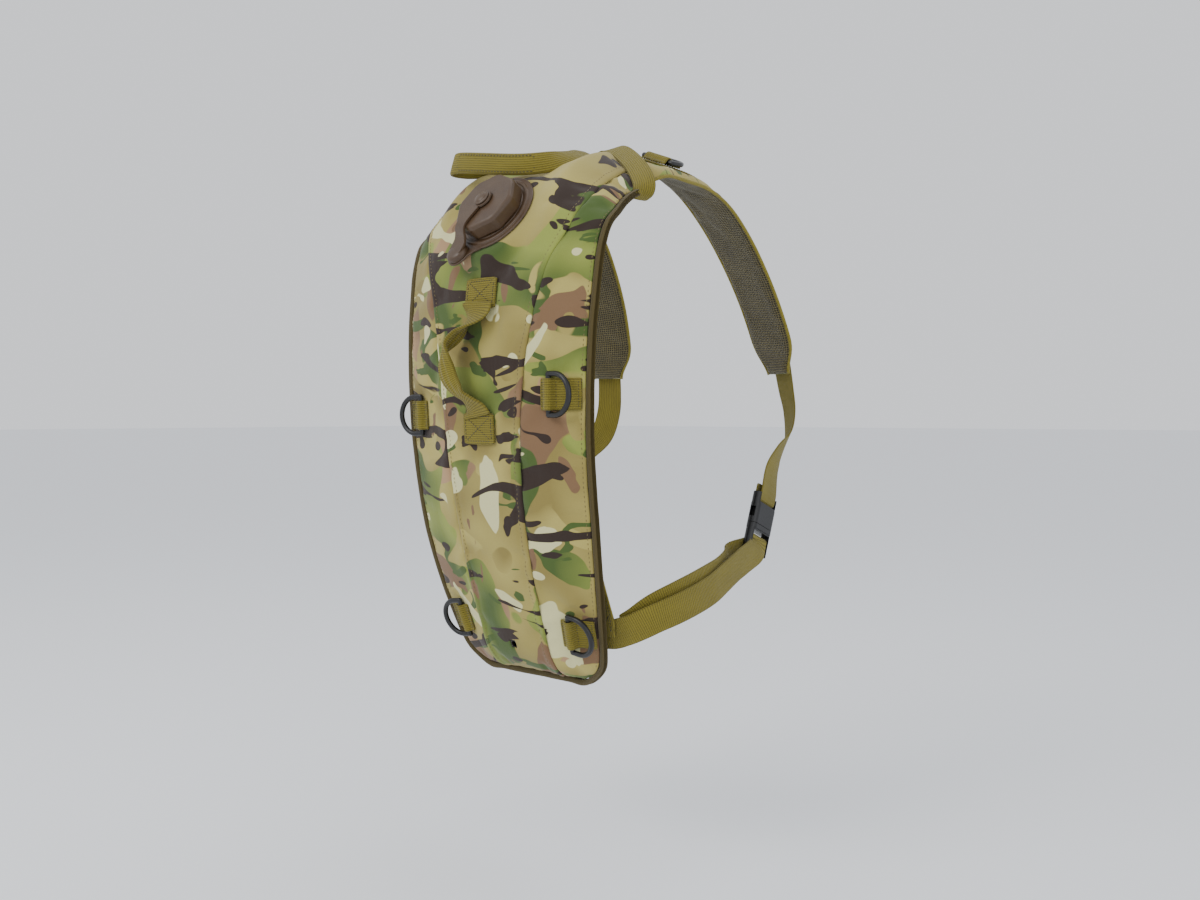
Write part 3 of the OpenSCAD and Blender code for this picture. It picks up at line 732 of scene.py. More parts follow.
def swell(name, points, pinned, pressure, slack, stiff, cap):
    """A sheet's points after a short cloth simulation, each moved by at most cap mm."""
    mesh = bpy.data.meshes.new(name)
    mesh.from_pydata(((points.reshape(-1, 3) - NAPE) * MM).tolist(), [],
                     grid_faces(*points.shape[:2]))
    obj = link(name, mesh)
    group = obj.vertex_groups.new(name="pinned")
    group.add([int(i) for i in np.flatnonzero(pinned.ravel())], 1.0, "REPLACE")
    cloth = obj.modifiers.new("cloth", "CLOTH")
    s = cloth.settings
    s.quality = 6
    s.mass = 0.25
    s.tension_stiffness = s.compression_stiffness = 20
    s.shear_stiffness = 8
    s.bending_stiffness = stiff
    s.use_pressure = True
    s.uniform_pressure_force = pressure
    s.effector_weights.gravity = 0
    s.vertex_group_mass = "pinned"
    s.shrink_min = -slack
    cloth.collision_settings.use_collision = False
    cloth.point_cache.frame_start = 1
    cloth.point_cache.frame_end = SIM_FRAMES
    for f in range(1, SIM_FRAMES + 1):
        bpy.context.scene.frame_set(f)
    done = obj.evaluated_get(bpy.context.evaluated_depsgraph_get())
    flat = np.empty(points.size)
    done.data.vertices.foreach_get("co", flat)
    moved = flat.reshape(points.shape) / MM + NAPE - points
    bpy.data.objects.remove(obj)
    bpy.data.meshes.remove(mesh)
    bpy.context.scene.frame_set(1)
    size = np.linalg.norm(moved, axis=2, keepdims=True)
    return points + moved * cap * np.tanh(size / cap) / np.maximum(size, 1e-6)


def spread(field, rows_at, cols_at):
    """A field known on a coarse grid, read at other places, given as fractions 0 to 1."""
    def read(at):
        return lambda line: np.interp(at, np.linspace(0, 1, len(line)), line)
    wide = np.apply_along_axis(read(cols_at), 1, field)
    return np.apply_along_axis(read(rows_at), 0, wide)


# ---- shell
STATIONS, ARC = stations(3.0)
CENTER_COLS = np.concatenate([-np.linspace(1, 0, 24, endpoint=False), np.linspace(0, 1, 25)])
SIDE_COLS = np.concatenate([np.linspace(0, 0.16, 6), np.linspace(0.2, 1, 20)])
WELT = 6.5
SEAM_INSET = 4.4
TUCK = 2.4
SHELL_T = 2.2
COLLAR_SEAT, COLLAR_REACH = 40, 52
UNDER_COLLAR = 0.35
PORT_DEPTH = 25
PORT_HOLE, DRAIN_HOLE = 27.5, 3.6
DRAIN_Z = -204


def press_port(points):
    """The fabric lies flat under the collar; also gives the distances from the port's axis."""
    rel = points - PORT
    high = rel @ PORT_AXIS
    away = np.linalg.norm(rel - high[..., None] * PORT_AXIS, axis=-1)
    weight = 1 - smooth((away - COLLAR_SEAT) / (COLLAR_REACH - COLLAR_SEAT))
    weight = np.where(np.abs(high) < PORT_DEPTH, weight, 0)
    return points - ((high + UNDER_COLLAR) * weight)[..., None] * PORT_AXIS, away


def center_grid():
    return np.array([outer_row(s, CENTER_COLS * (s[2][0] + 0.5)) for s in STATIONS])


def side_grid():
    return np.array([outer_row(s, s[2][0] - TUCK + SIDE_COLS * (s[3][0] - s[2][0] + TUCK))
                     for s in STATIONS])


def sheet_coords(across, along, inset=0.0):
    """Fabric coordinates of a grid: across, along, one value for each row, and the third."""
    return np.stack(np.broadcast_arrays(across, along[:, None], inset), axis=2)


def relief(distance, seed):
    """Height in mm of the folded welt and its puckers, at distances from a seam."""
    welt = np.interp(distance, [0, 0.8, 2.0, 3.6, 5.0, WELT, 9.5, 14],
                     [0.75, 1.35, 1.4, 1.0, 0.3, 0.0, 0.25, 0])
    pucker = wobble(ARC, seed, 2.6) * 0.32 + wobble(ARC, seed + 1, 7.0) * 0.3
    return welt + pucker[:, None] * np.exp(-((distance - 8) / 8) ** 2)


SIM_ROWS = 84
PATCH_HOLD, LOOP_HOLD = 20, 22


def swollen(points, seed, cols, keep):
    """A panel after its foam and fabric have swelled between the seams, simulated on a grid
    of SIM_ROWS by cols; keep says which points are held."""
    coarse_rows = np.linspace(0, len(STATIONS) - 1, SIM_ROWS).astype(int)
    coarse_cols = np.linspace(0, points.shape[1] - 1, cols).astype(int)
    coarse = points[np.ix_(coarse_rows, coarse_cols)]
    pinned = pinned_rim(coarse.shape) | keep(coarse)
    moved = swell(f"sim_{seed}", coarse, pinned, pressure=3.0, slack=0.02, stiff=3.0,
                  cap=2.6) - coarse
    rows_at = np.interp(np.arange(len(STATIONS)), coarse_rows, np.linspace(0, 1, SIM_ROWS))
    cols_at = np.interp(np.arange(points.shape[1]), coarse_cols, np.linspace(0, 1, cols))
    return points + spread(moved, rows_at, cols_at)


def holds(points, places):
    """Which points lie within reach of any (x, z, reach) place."""
    near = np.zeros(points.shape[:2], bool)
    for x, z, reach in places:
        near |= np.hypot(points[..., 0] - x, points[..., 2] - z) < reach
    return near


def shell_solid(outer, coords, flip=False):
    normals = grid_normals(outer) * (-1 if flip else 1)
    return closed_sheet(outer, outer - normals * SHELL_T, coords, flip)


HOLE_DEPTH = 12


def cut_holes(obj, holes):
    """Removes the faces of both skins inside (point, axis, radius) and closes the rims."""
    bm = bmesh.new()
    bm.from_mesh(obj.data)
    for point, axis, radius in holes:
        p = (np.asarray(point) - NAPE) * MM
        gone = []
        for face in bm.faces:
            rel = np.array(face.calc_center_median()) - p
            high = rel @ axis
            if abs(high) < HOLE_DEPTH * MM and np.linalg.norm(rel - high * axis) < radius * MM:
                gone.append(face)
        bmesh.ops.delete(bm, geom=gone, context="FACES")
        rim = [e for e in bm.edges if e.is_boundary]
        bmesh.ops.bridge_loops(bm, edges=rim)
    bmesh.ops.recalc_face_normals(bm, faces=bm.faces)
    bm.to_mesh(obj.data)
    bm.free()


def make_shell():
    """Centre and side panels, each a thin closed skin, with the folded seams between them."""
    places = [(0, 86, PATCH_HOLD), (0, -23, PATCH_HOLD)]
    center = swollen(center_grid(), 1, 17,
                     lambda p: holds(p, places) | (press_port(p)[1] < COLLAR_SEAT + 4))
    near = np.maximum(STATIONS[:, 2, 0][:, None] - np.abs(center[..., 0]), 0)
    lift = np.where(center[..., 0] > 0, relief(near, 5), relief(near, 9))
    center = press_port(center + grid_normals(center) * lift[..., None])[0]
    solid = shell_solid(center, sheet_coords(center[..., 0], ARC))
    piece = make_piece("shell_center", solid, "camo")
    cut_holes(piece, [(PORT, PORT_AXIS, PORT_HOLE),
                      (*surface_at(0, DRAIN_Z), DRAIN_HOLE)])
    pad_cloth(piece, "front_center_panel")
    shells = {"center": center}
    for name, side in SIDES.items():
        places = [(x + LOOP_MIDDLE, z, LOOP_HOLD) for x, z in (UPPER_AT[side], LOWER_AT)]
        grid = swollen(side_grid(), 20 + side, 11, lambda p: holds(p, places))
        d = grid[..., 0] - STATIONS[:, 2, 0][:, None]
        dip = np.interp(d, [-TUCK, 0, 1.2, 3, 8, 14], [-1.3, -0.9, -0.3, 0.15, 0.3, 0])
        pucker = wobble(ARC, 30 + side, 2.4)[:, None] * 0.3 * np.exp(-((d - 4) / 6) ** 2)
        gather = wobble(ARC, 40 + side, 4.2)[:, None] * 0.5 * smooth((SIDE_COLS - 0.75) / 0.25)
        grid = grid + grid_normals(grid) * (dip + pucker + gather)[..., None]
        coords = sheet_coords(grid[..., 0] + 130, ARC + (70 if side > 0 else 290))
        grid = mirrored(grid, side)
        solid = shell_solid(grid, coords, flip=side < 0)
        piece = make_piece(f"shell_side_{name}", solid, "camo")
        pad_cloth(piece, f"side_panel_{name}")
        shells[name] = grid
    return shells


def pad_cloth(piece, node):
    """Subdivides a padded piece, hides the CAD part it stands for, rides it on the pack."""
    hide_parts(node)
    refine(piece, levels=1)
    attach(piece, "pack")


def simple(name, parts, material, body, slot, replaces=(), bevel=0.0, levels=0, flat=None,
           cloth=False, angle=35):
    """Makes, rounds, rides and names one piece from (verts, faces, cloth) parts."""
    verts, faces, coords = joined(parts)
    piece = make_piece(name, (verts, faces, coords if cloth else None), material)
    if flat:
        sharpen(piece, flat)
    refine(piece, bevel, levels, angle)
    if replaces:
        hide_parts(*replaces)
    if body:
        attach(piece, body)
    return piece


def strap(name, parts, replaces, material="web", body="pack", slot="olive_webbing"):
    """A subdivided piece of webbing or tape."""
    return simple(name, parts, material, body, slot, [replaces], levels=1, cloth=True)


def moulded(name, parts, replaces, flat, body="pack", **more):
    """A piece of brown plastic, whose edges sharper than flat degrees stay sharp."""
    return simple(name, parts, "brown", body, "brown_plastic", [replaces], flat=flat, **more)


def sew(name, parts, body="pack", slot="olive_webbing", thread="dark_thread"):
    """Rows of stitches."""
    simple(name, parts, thread, body, slot)


def blend_body(piece, start, end):
    """Bakes a piece's placement; start (on the pack) and end (on a moving body) change nothing.
    """
    tuple((vec(*start) - NAPE) * MM)
    tuple((vec(*end) - NAPE) * MM)
    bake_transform(piece)


# ---- seams and bindings
def make_seam_stitches(shells):
    """Topstitching beside the folded seams, and along the binding."""
    center = shells["center"]
    n = grid_normals(center)
    parts = []
    for side in (RIGHT, LEFT):
        line, normals = [], []
        for i in range(4, len(STATIONS)):
            x = side * (STATIONS[i, 2, 0] - SEAM_INSET)
            j = np.interp(x, center[i, :, 0], np.arange(center.shape[1]))
            k = int(j)
            line.append(mix(center[i, k], center[i, k + 1], j - k))
            normals.append(n[i, k])
        parts.append(stitches(line, normals, pitch=3.6))
    for name, side in SIDES.items():
        grid = shells[name][6:-2]
        line = mix(grid[:, -2], grid[:, -3], 0.3)
        normals = grid_normals(shells[name])[6:-2, -2] * side
        parts.append(stitches(line, normals, pitch=3.8))
    sew("seam_stitches", parts, slot="camo_fabric", thread="thread")


def make_edge_binding():
    """Tape wrapped around the shell's rim, down one side, along the bottom and up the other."""
    rims = []
    for s in STATIONS[6:-1:3]:
        mid = mix(s[3], s[5], 0.24)
        rims.append([mid[0] + 0.8, mid[1], mid[2]])
    low = body_station(-229.5)
    foot = [[x, low[3][1] + 2.4, -231] for x in (56, 40, 24, 8, -8, -24, -40, -56)]
    right = rims[::-1]
    path = catmull(np.array(right + foot + [[-x, y, z] for x, y, z in rims]), 4.0)
    bulge = wobble(np.arange(len(path)), 3, 3.0) * 0.25
    wall = np.array([(2.7, -4.4), (3.0, -0.8), (2.5, 0.5), (1.1, 0.85)])
    lining = np.array([(1.9, -4.5), (2.0, -0.6)])
    flip = vec(-1, 1)
    profiles = []
    for rise in bulge:
        outline = [wall * flip, [(0, 0.95)], wall[::-1], lining, [(0, -0.4)], lining[::-1] * flip]
        profiles.append(np.vstack(outline) + vec(0, rise))
    strap("edge_binding_tape", [sweep(path, (0, 1, 0), profiles)], "edge_binding", "binding",
          slot="binding_tape")


def make_neckline_binding():
    """Tape folded over the neckline, from the outer face to the wearer's side."""
    last = STATIONS[-1]
    path, across = [], []
    for x in np.linspace(-102, 102, 90):
        outer = outer_row(last, x)[0]
        inner = mix(last[4], last[5], min(1, abs(x) / last[5][0]) ** 2)
        inner[0] = x
        way = unit(inner - outer)
        path.append(mix(outer, inner, 0.5) + 1.2 * vec(0, -way[2], way[1]))
        across.append(way)
    profile = np.array([(-6.2, -2.2), (-6.6, -0.8), (-6.0, 0.7), (-3, 1.0), (0, 1.05), (3, 1.0),
                        (6.0, 0.7), (6.6, -0.8), (6.2, -2.2), (5.3, -2.2), (5.4, -0.6), (0, -0.4),
                        (-5.4, -0.6), (-5.3, -2.2)])
    strap("neckline_tape", [sweep(path, across, profile)], "neckline_binding", "tape")


# ---- padded back
CHANNEL_X = 14


def make_back():
    """Padded mesh back with a middle channel and cross channels, swelled between them."""
    steps = np.linspace(-1, 1, 39)
    rows = STATIONS[::2]
    arc = ARC[::2]
    inward = rows[:, 6][:, None]
    rear = np.array([mix(s[4], s[5], steps[:, None] ** 2) for s in rows])
    rear[..., 0] = steps * (rows[:, 5, 0][:, None] + 0.2)
    pinch = smooth((np.abs(steps) - 0.72) / 0.28)[:, None]
    rear = rear - inward * (5.2 * pinch)
    front = rear - inward * (6.4 - 4.4 * pinch)
    x = rear[..., 0]
    channel = np.exp(-((np.abs(x) - CHANNEL_X) / 3.0) ** 2)
    for z in (-150, -75, 0, 75):
        at = np.interp(z, STATIONS[:, 3, 2], ARC)
        line = np.exp(-((arc[:, None] - at - 0.10 * np.abs(x)) / 3.0) ** 2)
        channel = np.maximum(channel, np.where(np.abs(x) > CHANNEL_X, line, 0))
    rear = rear - inward * (0.3 + 3.0 * channel)[..., None]
    pinned = (channel > 0.6) | pinned_rim(channel.shape)
    rear = swell("sim_back", rear, pinned, pressure=5.0, slack=0.03, stiff=1.5, cap=2.2)
    solid = closed_sheet(front, rear, sheet_coords(x, arc, channel))
    piece = make_piece("back_pad", solid, "mesh")
    pad_cloth(piece, "back_panel")
    parts = []
    for column in (-CHANNEL_X, CHANNEL_X):
        j = int(np.argmin(np.abs(x[30] - column)))
        line = rear[:, j] + inward[:, 0] * 0.15
        parts.append(stitches(line[3:-3], rows[3:-3, 6]))
    sew("back_stitches", parts, slot="back_mesh")


# ---- handles
CARRY_T = 1.7
# Where the grip's stitches lie, as a share of its width from the middle.
CARRY_SEWN = 0.36


def make_top_handle():
    """Webbing folded lengthwise into a grip, opening out towards its sewn ends."""
    keys = np.array([
        [45, 90, 207.2, -1, 0, 0.45, 30], [43.5, 78, 206.4, -1, 0, 0.5, 28],
        [42.5, 66, 203.6, -0.9, 0, 0.5, 23], [39, 54, 199.5, -0.65, 0, 0.75, 20],
        [31, 43, 196.5, -0.2, 0, 1, 18.5], [17, 34.5, 195.5, 0, 0, 1, 18.5],
        [0, 30, 197, 0, 0, 1, 18.5], [-30, 26, 201.5, 0, 0, 1, 18.5],
        [-53, 25.5, 205, 0.15, 0, 1, 18.5], [-63.5, 28.5, 205.5, 0.38, 0, 0.93, 18.5],
        [-67.5, 36, 205, 0.5, 0, 0.87, 18.5], [-65, 47, 205.4, 0.45, 0, 0.9, 18.5],
        [-57.5, 60, 207.2, 0.55, 0, 0.8, 20], [-49, 73, 207.5, 0.85, 0, 0.55, 26],
        [-46, 90, 207.2, 1, 0, 0.45, 30]])
    path, across, extra = resample(keys, 2.5)
    profiles = []
    for width in extra[:, 0]:
        fold = smooth((28 - width) / 9)
        outline = rounded_profile(width, CARRY_T * (1 + fold), 4)
        outline[:, 1] += 0.35 * fold * np.cos(outline[:, 0] / width * 5)
        profiles.append(outline)
    piece = strap("carry_handle", [sweep(path, across, profiles)], "top_handle", body=None)
    blend_body(piece, (0, 80, 207), (0, 60, 207))
    ups = unit(across)
    outs = unit(np.cross(ups, unit(np.gradient(path, axis=0))))
    start, end = (int(np.argmin(np.linalg.norm(path - vec(*p), axis=1)))
                  for p in ((24, 38.5, 196.5), (-55, 25.6, 206.4)))
    lines = []
    for share in (-CARRY_SEWN, CARRY_SEWN):
        line = path + ups * extra * share + outs * 1.8
        lines.append(stitches(line[start:end], outs[start:end], pitch=3.2))
    for i in (start, end - 1):
        line = [path[i] + ups[i] * extra[i] * share + outs[i] * 1.75
                for share in np.linspace(-CARRY_SEWN, CARRY_SEWN, 9)]
        lines.append(stitches(line, outs[i], pitch=3.0))
    sew("carry_handle_stitches", lines, "top_handle")


PATCH_HEIGHTS = (86.5, -23)
PATCH_W, PATCH_HALF = 35, 13
HAUL_T = 1.6


def make_front_handle():
    """Box-stitched patches, and the soft loop between them, which flops to the left."""
    patches, threads = [], []
    for z in PATCH_HEIGHTS:
        path = []
        for h in np.linspace(-PATCH_HALF, PATCH_HALF, 14):
            p, n = surface_at(0, z + h)
            path.append(p + n * (1.9 + 0.12 * math.sin(h)))
        patches.append(sweep(path, (1, 0, 0), rounded_profile(PATCH_W, HAUL_T, 4)))

        def surface(a, b, z=z):
            p, n = surface_at(a, z + b)
            return vec(a, on_face(0, z + b)[1], p[2]) + n * 2.9, n
        threads += box_stitch(surface, 29, 20, pitch=2.9, length=2.2)
    strap("haul_handle_patches", patches, "front_handle_patches", "web_cross")
    sew("haul_patch_stitches", threads)
    keys = np.array([
        [0, -5.0, 80, 1, 0, 0, 34, 0], [-0.5, -5.6, 73, 1, -0.05, 0, 33, 0],
        [-3, -8, 66, 1, -0.25, 0.15, 30, 0.2], [-8, -12, 59, 0.9, -0.5, 0.3, 26, 0.6],
        [-14, -16.5, 52.5, 0.75, -0.65, 0.5, 24, 1], [-19, -20.5, 45, 0.6, -0.8, 0.3, 23, 1],
        [-20.5, -22, 36, 0.85, -0.5, 0.1, 21, 1], [-20, -21.5, 26, 1, -0.1, -0.1, 20, 1],
        [-17.5, -19.5, 16, 1, 0, -0.25, 20.5, 1], [-12.5, -15.5, 7, 0.95, 0, -0.4, 23, 1],
        [-6, -11, 0, 0.97, -0.1, -0.35, 26, 0.6], [-1.5, -7, -7, 1, -0.1, -0.15, 31, 0.2],
        [0, -5.2, -14, 1, 0, 0, 34, 0]])
    path, across, extra = resample(keys, 2.0)
    profiles = []
    for width, fold in extra:
        outline = rounded_profile(width, HAUL_T * (1 + fold), 5)
        cup = (outline[:, 0] / (width / 2)) ** 2
        outline[:, 1] += fold * (2.6 * cup + 0.5 * np.sin(outline[:, 0] * 0.9) - 1)
        profiles.append(outline)
    middle = int(np.argmin(np.abs(path[:, 2] - 32)))
    lap = middle - 4
    tucked = profiles[:lap + 1] + [p * vec(0.93, 0.8) for p in profiles[lap + 1:]]
    halves = (("upper", slice(0, middle + 1), tucked, (0, 0, 75), (0, 0, 50)),
              ("lower", slice(lap, None), profiles, (0, 0, -12), (0, 0, 13)))
    for name, part, outlines, start, end in halves:
        solid = sweep(path[part], across[part], outlines[part])
        if name == "lower":
            solid[2][:, 1] += 2.0 * lap
        piece = strap(f"haul_handle_{name}", [solid], "front_handle", "web_cross", None)
        blend_body(piece, start, end)


# ---- side loops and rings
BAR_AT = 8
WEB_W, WEB_T, LOOP_T = 25, 1.4, 1.5
# Where the side loops are sewn, as (x, z), and how long they are.
UPPER_AT = {RIGHT: (63, 4), LEFT: (72, -12)}
UPPER_LENGTH = {RIGHT: 36, LEFT: 27}
LOWER_AT, LOWER_LENGTH = (53, -188), 30
SHOULDER_LENGTH = 26
LOOP_MIDDLE = 14


def on_side(x, z, side):
    """Placement of a loop's local axes: x along the webbing, -y away from the pack, z up."""
    slope = math.degrees(math.atan(14 / (edge_x(z) - seam_x(z))))
    m = turn("z", slope) @ turn("x", -lean(z))
    return placed(on_face(x, z), m, side)


def on_shoulder(side):
    """As on_side, for the ring on the shoulder strap."""
    m = turn("y", 21.8) @ turn("z", 90) @ turn("x", -90)
    return placed(vec(82, 128, 203.5) - m @ vec(BAR_AT, 0, 0), m, side)


def make_loop(name, place, length):
    """Webbing folded over a ring's bar, with stitched lines on each side of the bar."""
    base = 1.15
    rise = [(0, 0), (1.5, 0), (2.9, 0.4), (4.2, 1.9), (5.1, 3.6), (6.5, 4.9)]
    fall = [(2 * BAR_AT - x, h) for x, h in rise[:0:-1]]
    end = [(x, 0.15 * math.sin(x)) for x in np.linspace(17, length, 7)]
    outline = rise + [(BAR_AT, 5.3)] + fall + end
    local = catmull([(x, -base - h, 0) for x, h in outline], 1.0)
    path = [place(p) for p in local]
    solid = sweep(path, heading(place, 0, 0, 1), rounded_profile(WEB_W, LOOP_T, 5))
    strap(f"{name}_webbing", [solid], name)
    out = heading(place, 0, -1, 0)
    lines = []
    for x, h in ((1.6, 0), (3.1, 0.6), (14.0, 0), (length - 2.5, 0)):
        line = [place((x, -base - h - 0.8, z)) for z in np.linspace(-11.3, 11.3, 14)]
        lines.append(stitches(line, out, pitch=2.6, length=2.0))
    sew(f"{name}_stitches", lines)


def make_loops():
    """The six rings' loops. The left upper one is lower, further out and shorter."""
    for name, side in SIDES.items():
        for where, place, length in (
                ("dring_loop_upper", on_side(*UPPER_AT[side], side), UPPER_LENGTH[side]),
                ("dring_loop_lower", on_side(*LOWER_AT, side), LOWER_LENGTH),
                ("shoulder_dring_loop", on_shoulder(side), SHOULDER_LENGTH)):
            make_loop(f"{where}_{name}", place, length)


# ---- fill port and cap
ANCHOR_AT = 46


def make_collar():
    """Two stepped rings around the neck, and the tab that carries the tether."""
    rings = [(25.3, 0.3), (38, 0.3), (38.2, 0.9), (37.6, 1.7), (34.4, 1.9), (34.0, 2.7),
             (33.4, 3.0), (31.6, 2.9), (31.2, 2.1), (28.6, 2.0), (28.2, 2.6), (27.4, 2.9),
             (25.3, 2.7)]
    outline = [polar(11.2, a) + vec(ANCHOR_AT, 0) for a in np.linspace(-100, 100, 22)]
    outline += [(38, 14.5), (33, 20), (30, 17), (30, -17), (33, -20), (38, -14.5)]
    parts = [closed_lathe(rings, at_port, 96), slab(outline, 0.3, 1.8, 0.5, at_tab)]
    moulded("fill_collar_rings", parts, "fill_collar", 40, bevel=0.25)


def slab(outline, low, high, chamfer, place, cloth=None):
    """A flat plate with a chamfered top edge, from an outline of (x, y) points."""
    o = np.array(outline)
    inward = unit(o.mean(0) - o)
    verts = [place((*p, h)) for shrink, h in ((0, low), (0, high - chamfer), (chamfer, high))
             for p in o + inward * shrink]
    return np.array(verts), tube_faces(3, len(o)), cloth


CAP_RIM = 3.4
CAP_TOP = 17.0
CAP_BORE = 26.3


def cap_outline(flats, cut):
    """Corners of an octagon whose own corners are cut off, going round."""
    half_side = 22.5
    corners = [polar(flats / 2 / math.cos(math.radians(half_side)), 45 * k) for k in range(8)]
    points = []
    for before, here, after in zip(corners[-1:] + corners, corners, corners[1:] + corners):
        points += [here + unit(before - here) * cut, here + unit(after - here) * cut]
    return [turn("z", half_side)[:2, :2] @ p for p in points]


def make_cap():
    """Octagonal screw cap with chamfered corners, hollow underneath, and its dome button."""
    levels = [(55.0, 1.9, CAP_RIM), (56.2, 2.0, CAP_RIM + 0.9), (56.2, 2.1, CAP_TOP - 3.4),
              (54.6, 2.4, CAP_TOP - 1.0), (51.8, 2.8, CAP_TOP)]
    verts = [at_tab((*p, h)) for flats, cut, h in levels for p in cap_outline(flats, cut)]
    m, base = 16, len(verts)
    faces = grid_faces(len(levels), m, wrap=True) + [list(range(base - m, base))]
    verts += [at_port((*polar(CAP_BORE, TAB_ANGLE + 14 + k * 360 / m), h))
              for h in (CAP_RIM, CAP_TOP - 3.2) for k in range(m)]
    faces += [f[::-1] for f in grid_faces(2, m, base, wrap=True)]
    faces.append([base + m + j for j in range(m)][::-1])
    faces += [[base + j, base + (j + 1) % m, (j + 1) % m, j] for j in range(m)]
    moulded("cap_body", [(verts, faces, None)], "cap_shell", 20, "cap", bevel=0.7, angle=14)
    dome = [(0.01, 5.2), (2.5, 5.1), (4.6, 4.6), (5.0, 4.2), (5.3, 4.0), (6.9, 3.7), (7.2, 3.2),
            (7.0, 2.8), (3.9, 2.7), (3.9, -0.4), (0.01, -0.4)]
    button = [(r, CAP_TOP + h) for r, h in dome]
    moulded("cap_dome_button", [lathe(button[::-1], at_port)], "cap_button", 40, "cap")


def make_tether():
    """The strap that keeps the cap: a round thick end on the collar's tab, a flat band with
    raised edges that rises beside the cap, and a ring around the button."""
    end = [(0.01, 7.4), (4.5, 7.3), (7.4, 6.8), (9.2, 5.6), (9.9, 3.8), (9.9, 2.1), (0.01, 2.1)]
    anchor = vec(ANCHOR_AT, 0, 0)
    solid = lathe(end[::-1], lambda p: at_tab(anchor + p))
    moulded("tether_round_end", [solid], "tether_anchor", 50)
    keys = [(47, 6.0, 15), (42, 7.0, 16), (37.5, 8.6, 16.0), (33.6, 12.2, 15.2),
            (30.6, 16.0, 13.6), (26.5, 18.3, 11.8), (21, 18.75, 10.2), (14, 18.75, 9.4),
            (8.2, 18.75, 9.8)]
    rows = catmull([(x, 0, z, w) for x, z, w in keys], 1.5)
    path = [at_tab(r[:3]) for r in rows]
    profiles = []
    for w in rows[:, 3]:
        h = w / 2
        lip = np.array([(h, -0.9), (h + 0.1, 0.3), (h - 0.2, 1.25), (h - 0.9, 1.35),
                        (h - 1.5, 0.8)])
        outline = [lip, [(0, 0.7)], lip[::-1] * vec(-1, 1), [(0, -0.9)]]
        profiles.append(np.vstack(outline)[::-1])
    band = sweep(path, heading(at_tab, 0, -1, 0), profiles)
    eye = [(4.15, 0.7), (8.6, 0.7), (9.1, 1.2), (8.8, 2.4), (8.1, 2.5), (4.15, 2.4)]
    ring = closed_lathe([(r, CAP_TOP + h) for r, h in eye], at_port, 48)
    piece = moulded("tether_band", [band, ring], "cap_tether", 45, None)
    blend_body(piece, at_tab((42, 0, 7)), at_tab((35.5, 0, 10)))


def make_drain():
    """A rolled metal eyelet with a dark hole."""
    place = placed(on_face(0, DRAIN_Z), turn("x", 90 - lean(DRAIN_Z)))
    roll = [(2.7, -3.4), (2.6, 0.4), (2.8, 1.2), (3.5, 1.65), (4.4, 1.6), (5.4, 1.1), (6.1, 0.5),
            (6.2, 0.1), (5.0, 0.05), (3.5, -0.2), (3.4, -3.4)]
    solid = closed_lathe(roll, place, 40)
    simple("drain_ring", [solid], "metal", "pack", "dark_metal", ["drain_eyelet"], flat=60)


# ---- shoulder straps
PAD_W, PAD_T = 58, 9
PAD_COLS = 19
PAD_KEYS = np.array([
    [80, 90, 193, 0.74, -0.32, -0.6], [81, 100, 198, 0.85, -0.2, -0.5],
    [82, 112, 200.5, 0.93, 0, -0.372], [82, 140, 200.5, 0.93, 0, -0.372],
    [83, 170, 196, 0.95, -0.02, -0.3], [85, 200, 183, 0.96, -0.06, -0.25],
    [88, 228, 160, 0.95, -0.14, -0.2], [93, 251, 130, 0.94, -0.22, -0.15],
    [98, 270, 97, 0.93, -0.28, -0.1], [103, 284, 62, 0.92, -0.32, -0.05],
    [107, 293, 28, 0.9, -0.36, 0]])


def make_pad(name, side):
    """A padded strap: swelled camouflage top, mesh underside, and piping along both edges."""
    path, across, _ = resample(PAD_KEYS, 4.0)
    u, v = unit(across), strap_frame(path, across)[1]
    cols = np.linspace(-1, 1, PAD_COLS)
    run = run_along(path)
    share = run / run[-1]
    width = PAD_W * (1 - 0.42 * smooth((share - 0.86) / 0.14) ** 2)
    end = np.sqrt(np.clip(np.minimum(share / 0.02, (1 - share) / 0.03), 0.05, 1))
    crown = (end[:, None] * (1 - np.abs(cols) ** 6))[..., None]
    edge = PAD_T / 2
    x = (width / 2 - 1.5)[:, None, None] * cols[:, None] * u[:, None]
    top = path[:, None] + x + v[:, None] * (-edge + (edge + 1.1) * crown)
    under = path[:, None] + x + v[:, None] * (-edge - (edge - 0.7) * crown)
    rim, middle = pinned_rim(top.shape), np.abs(cols) < 0.5
    foam = {"pressure": 4.0, "stiff": 2.0}
    top = swell(f"sim_pad_{name}", top, rim | middle, slack=0.03, cap=1.4, **foam)
    under = swell(f"sim_pad_under_{name}", under[:, ::-1], rim & ~middle, slack=0.02, cap=1.6,
                  **foam)
    coords = sheet_coords(cols * PAD_W / 2, run + (40 if side > 0 else 400))
    solid = closed_sheet(mirrored(top, side), mirrored(under[:, ::-1], side), coords,
                         flip=side < 0)
    piece = make_piece(f"shoulder_pad_{name}_body", solid, "camo")
    piece.data.materials.append(MATERIALS["mesh"])
    count = (len(path) - 1) * (PAD_COLS - 1)
    for polygon in list(piece.data.polygons)[count:2 * count]:
        polygon.material_index = 1
    pad_cloth(piece, f"shoulder_pad_{name}")
    cord = [1.5 * vec(math.cos(a), math.sin(a)) for a in around(10)]
    piping = []
    for way in (-1, 1):
        line = path + u * (way * (width / 2 - 1.7))[:, None] - v * edge
        piping.append(sweep(mirrored(line, side), mirrored(v, side), cord))
    simple(f"shoulder_piping_{name}", piping, "tape", "pack", "camo_fabric", cloth=True)


def web_solid(path, across, side, width=WEB_W):
    """Webbing along a path given for the right side."""
    profile = rounded_profile(width, WEB_T, 5)
    return sweep(mirrored(path, side), mirrored(across, side) * side, profile)


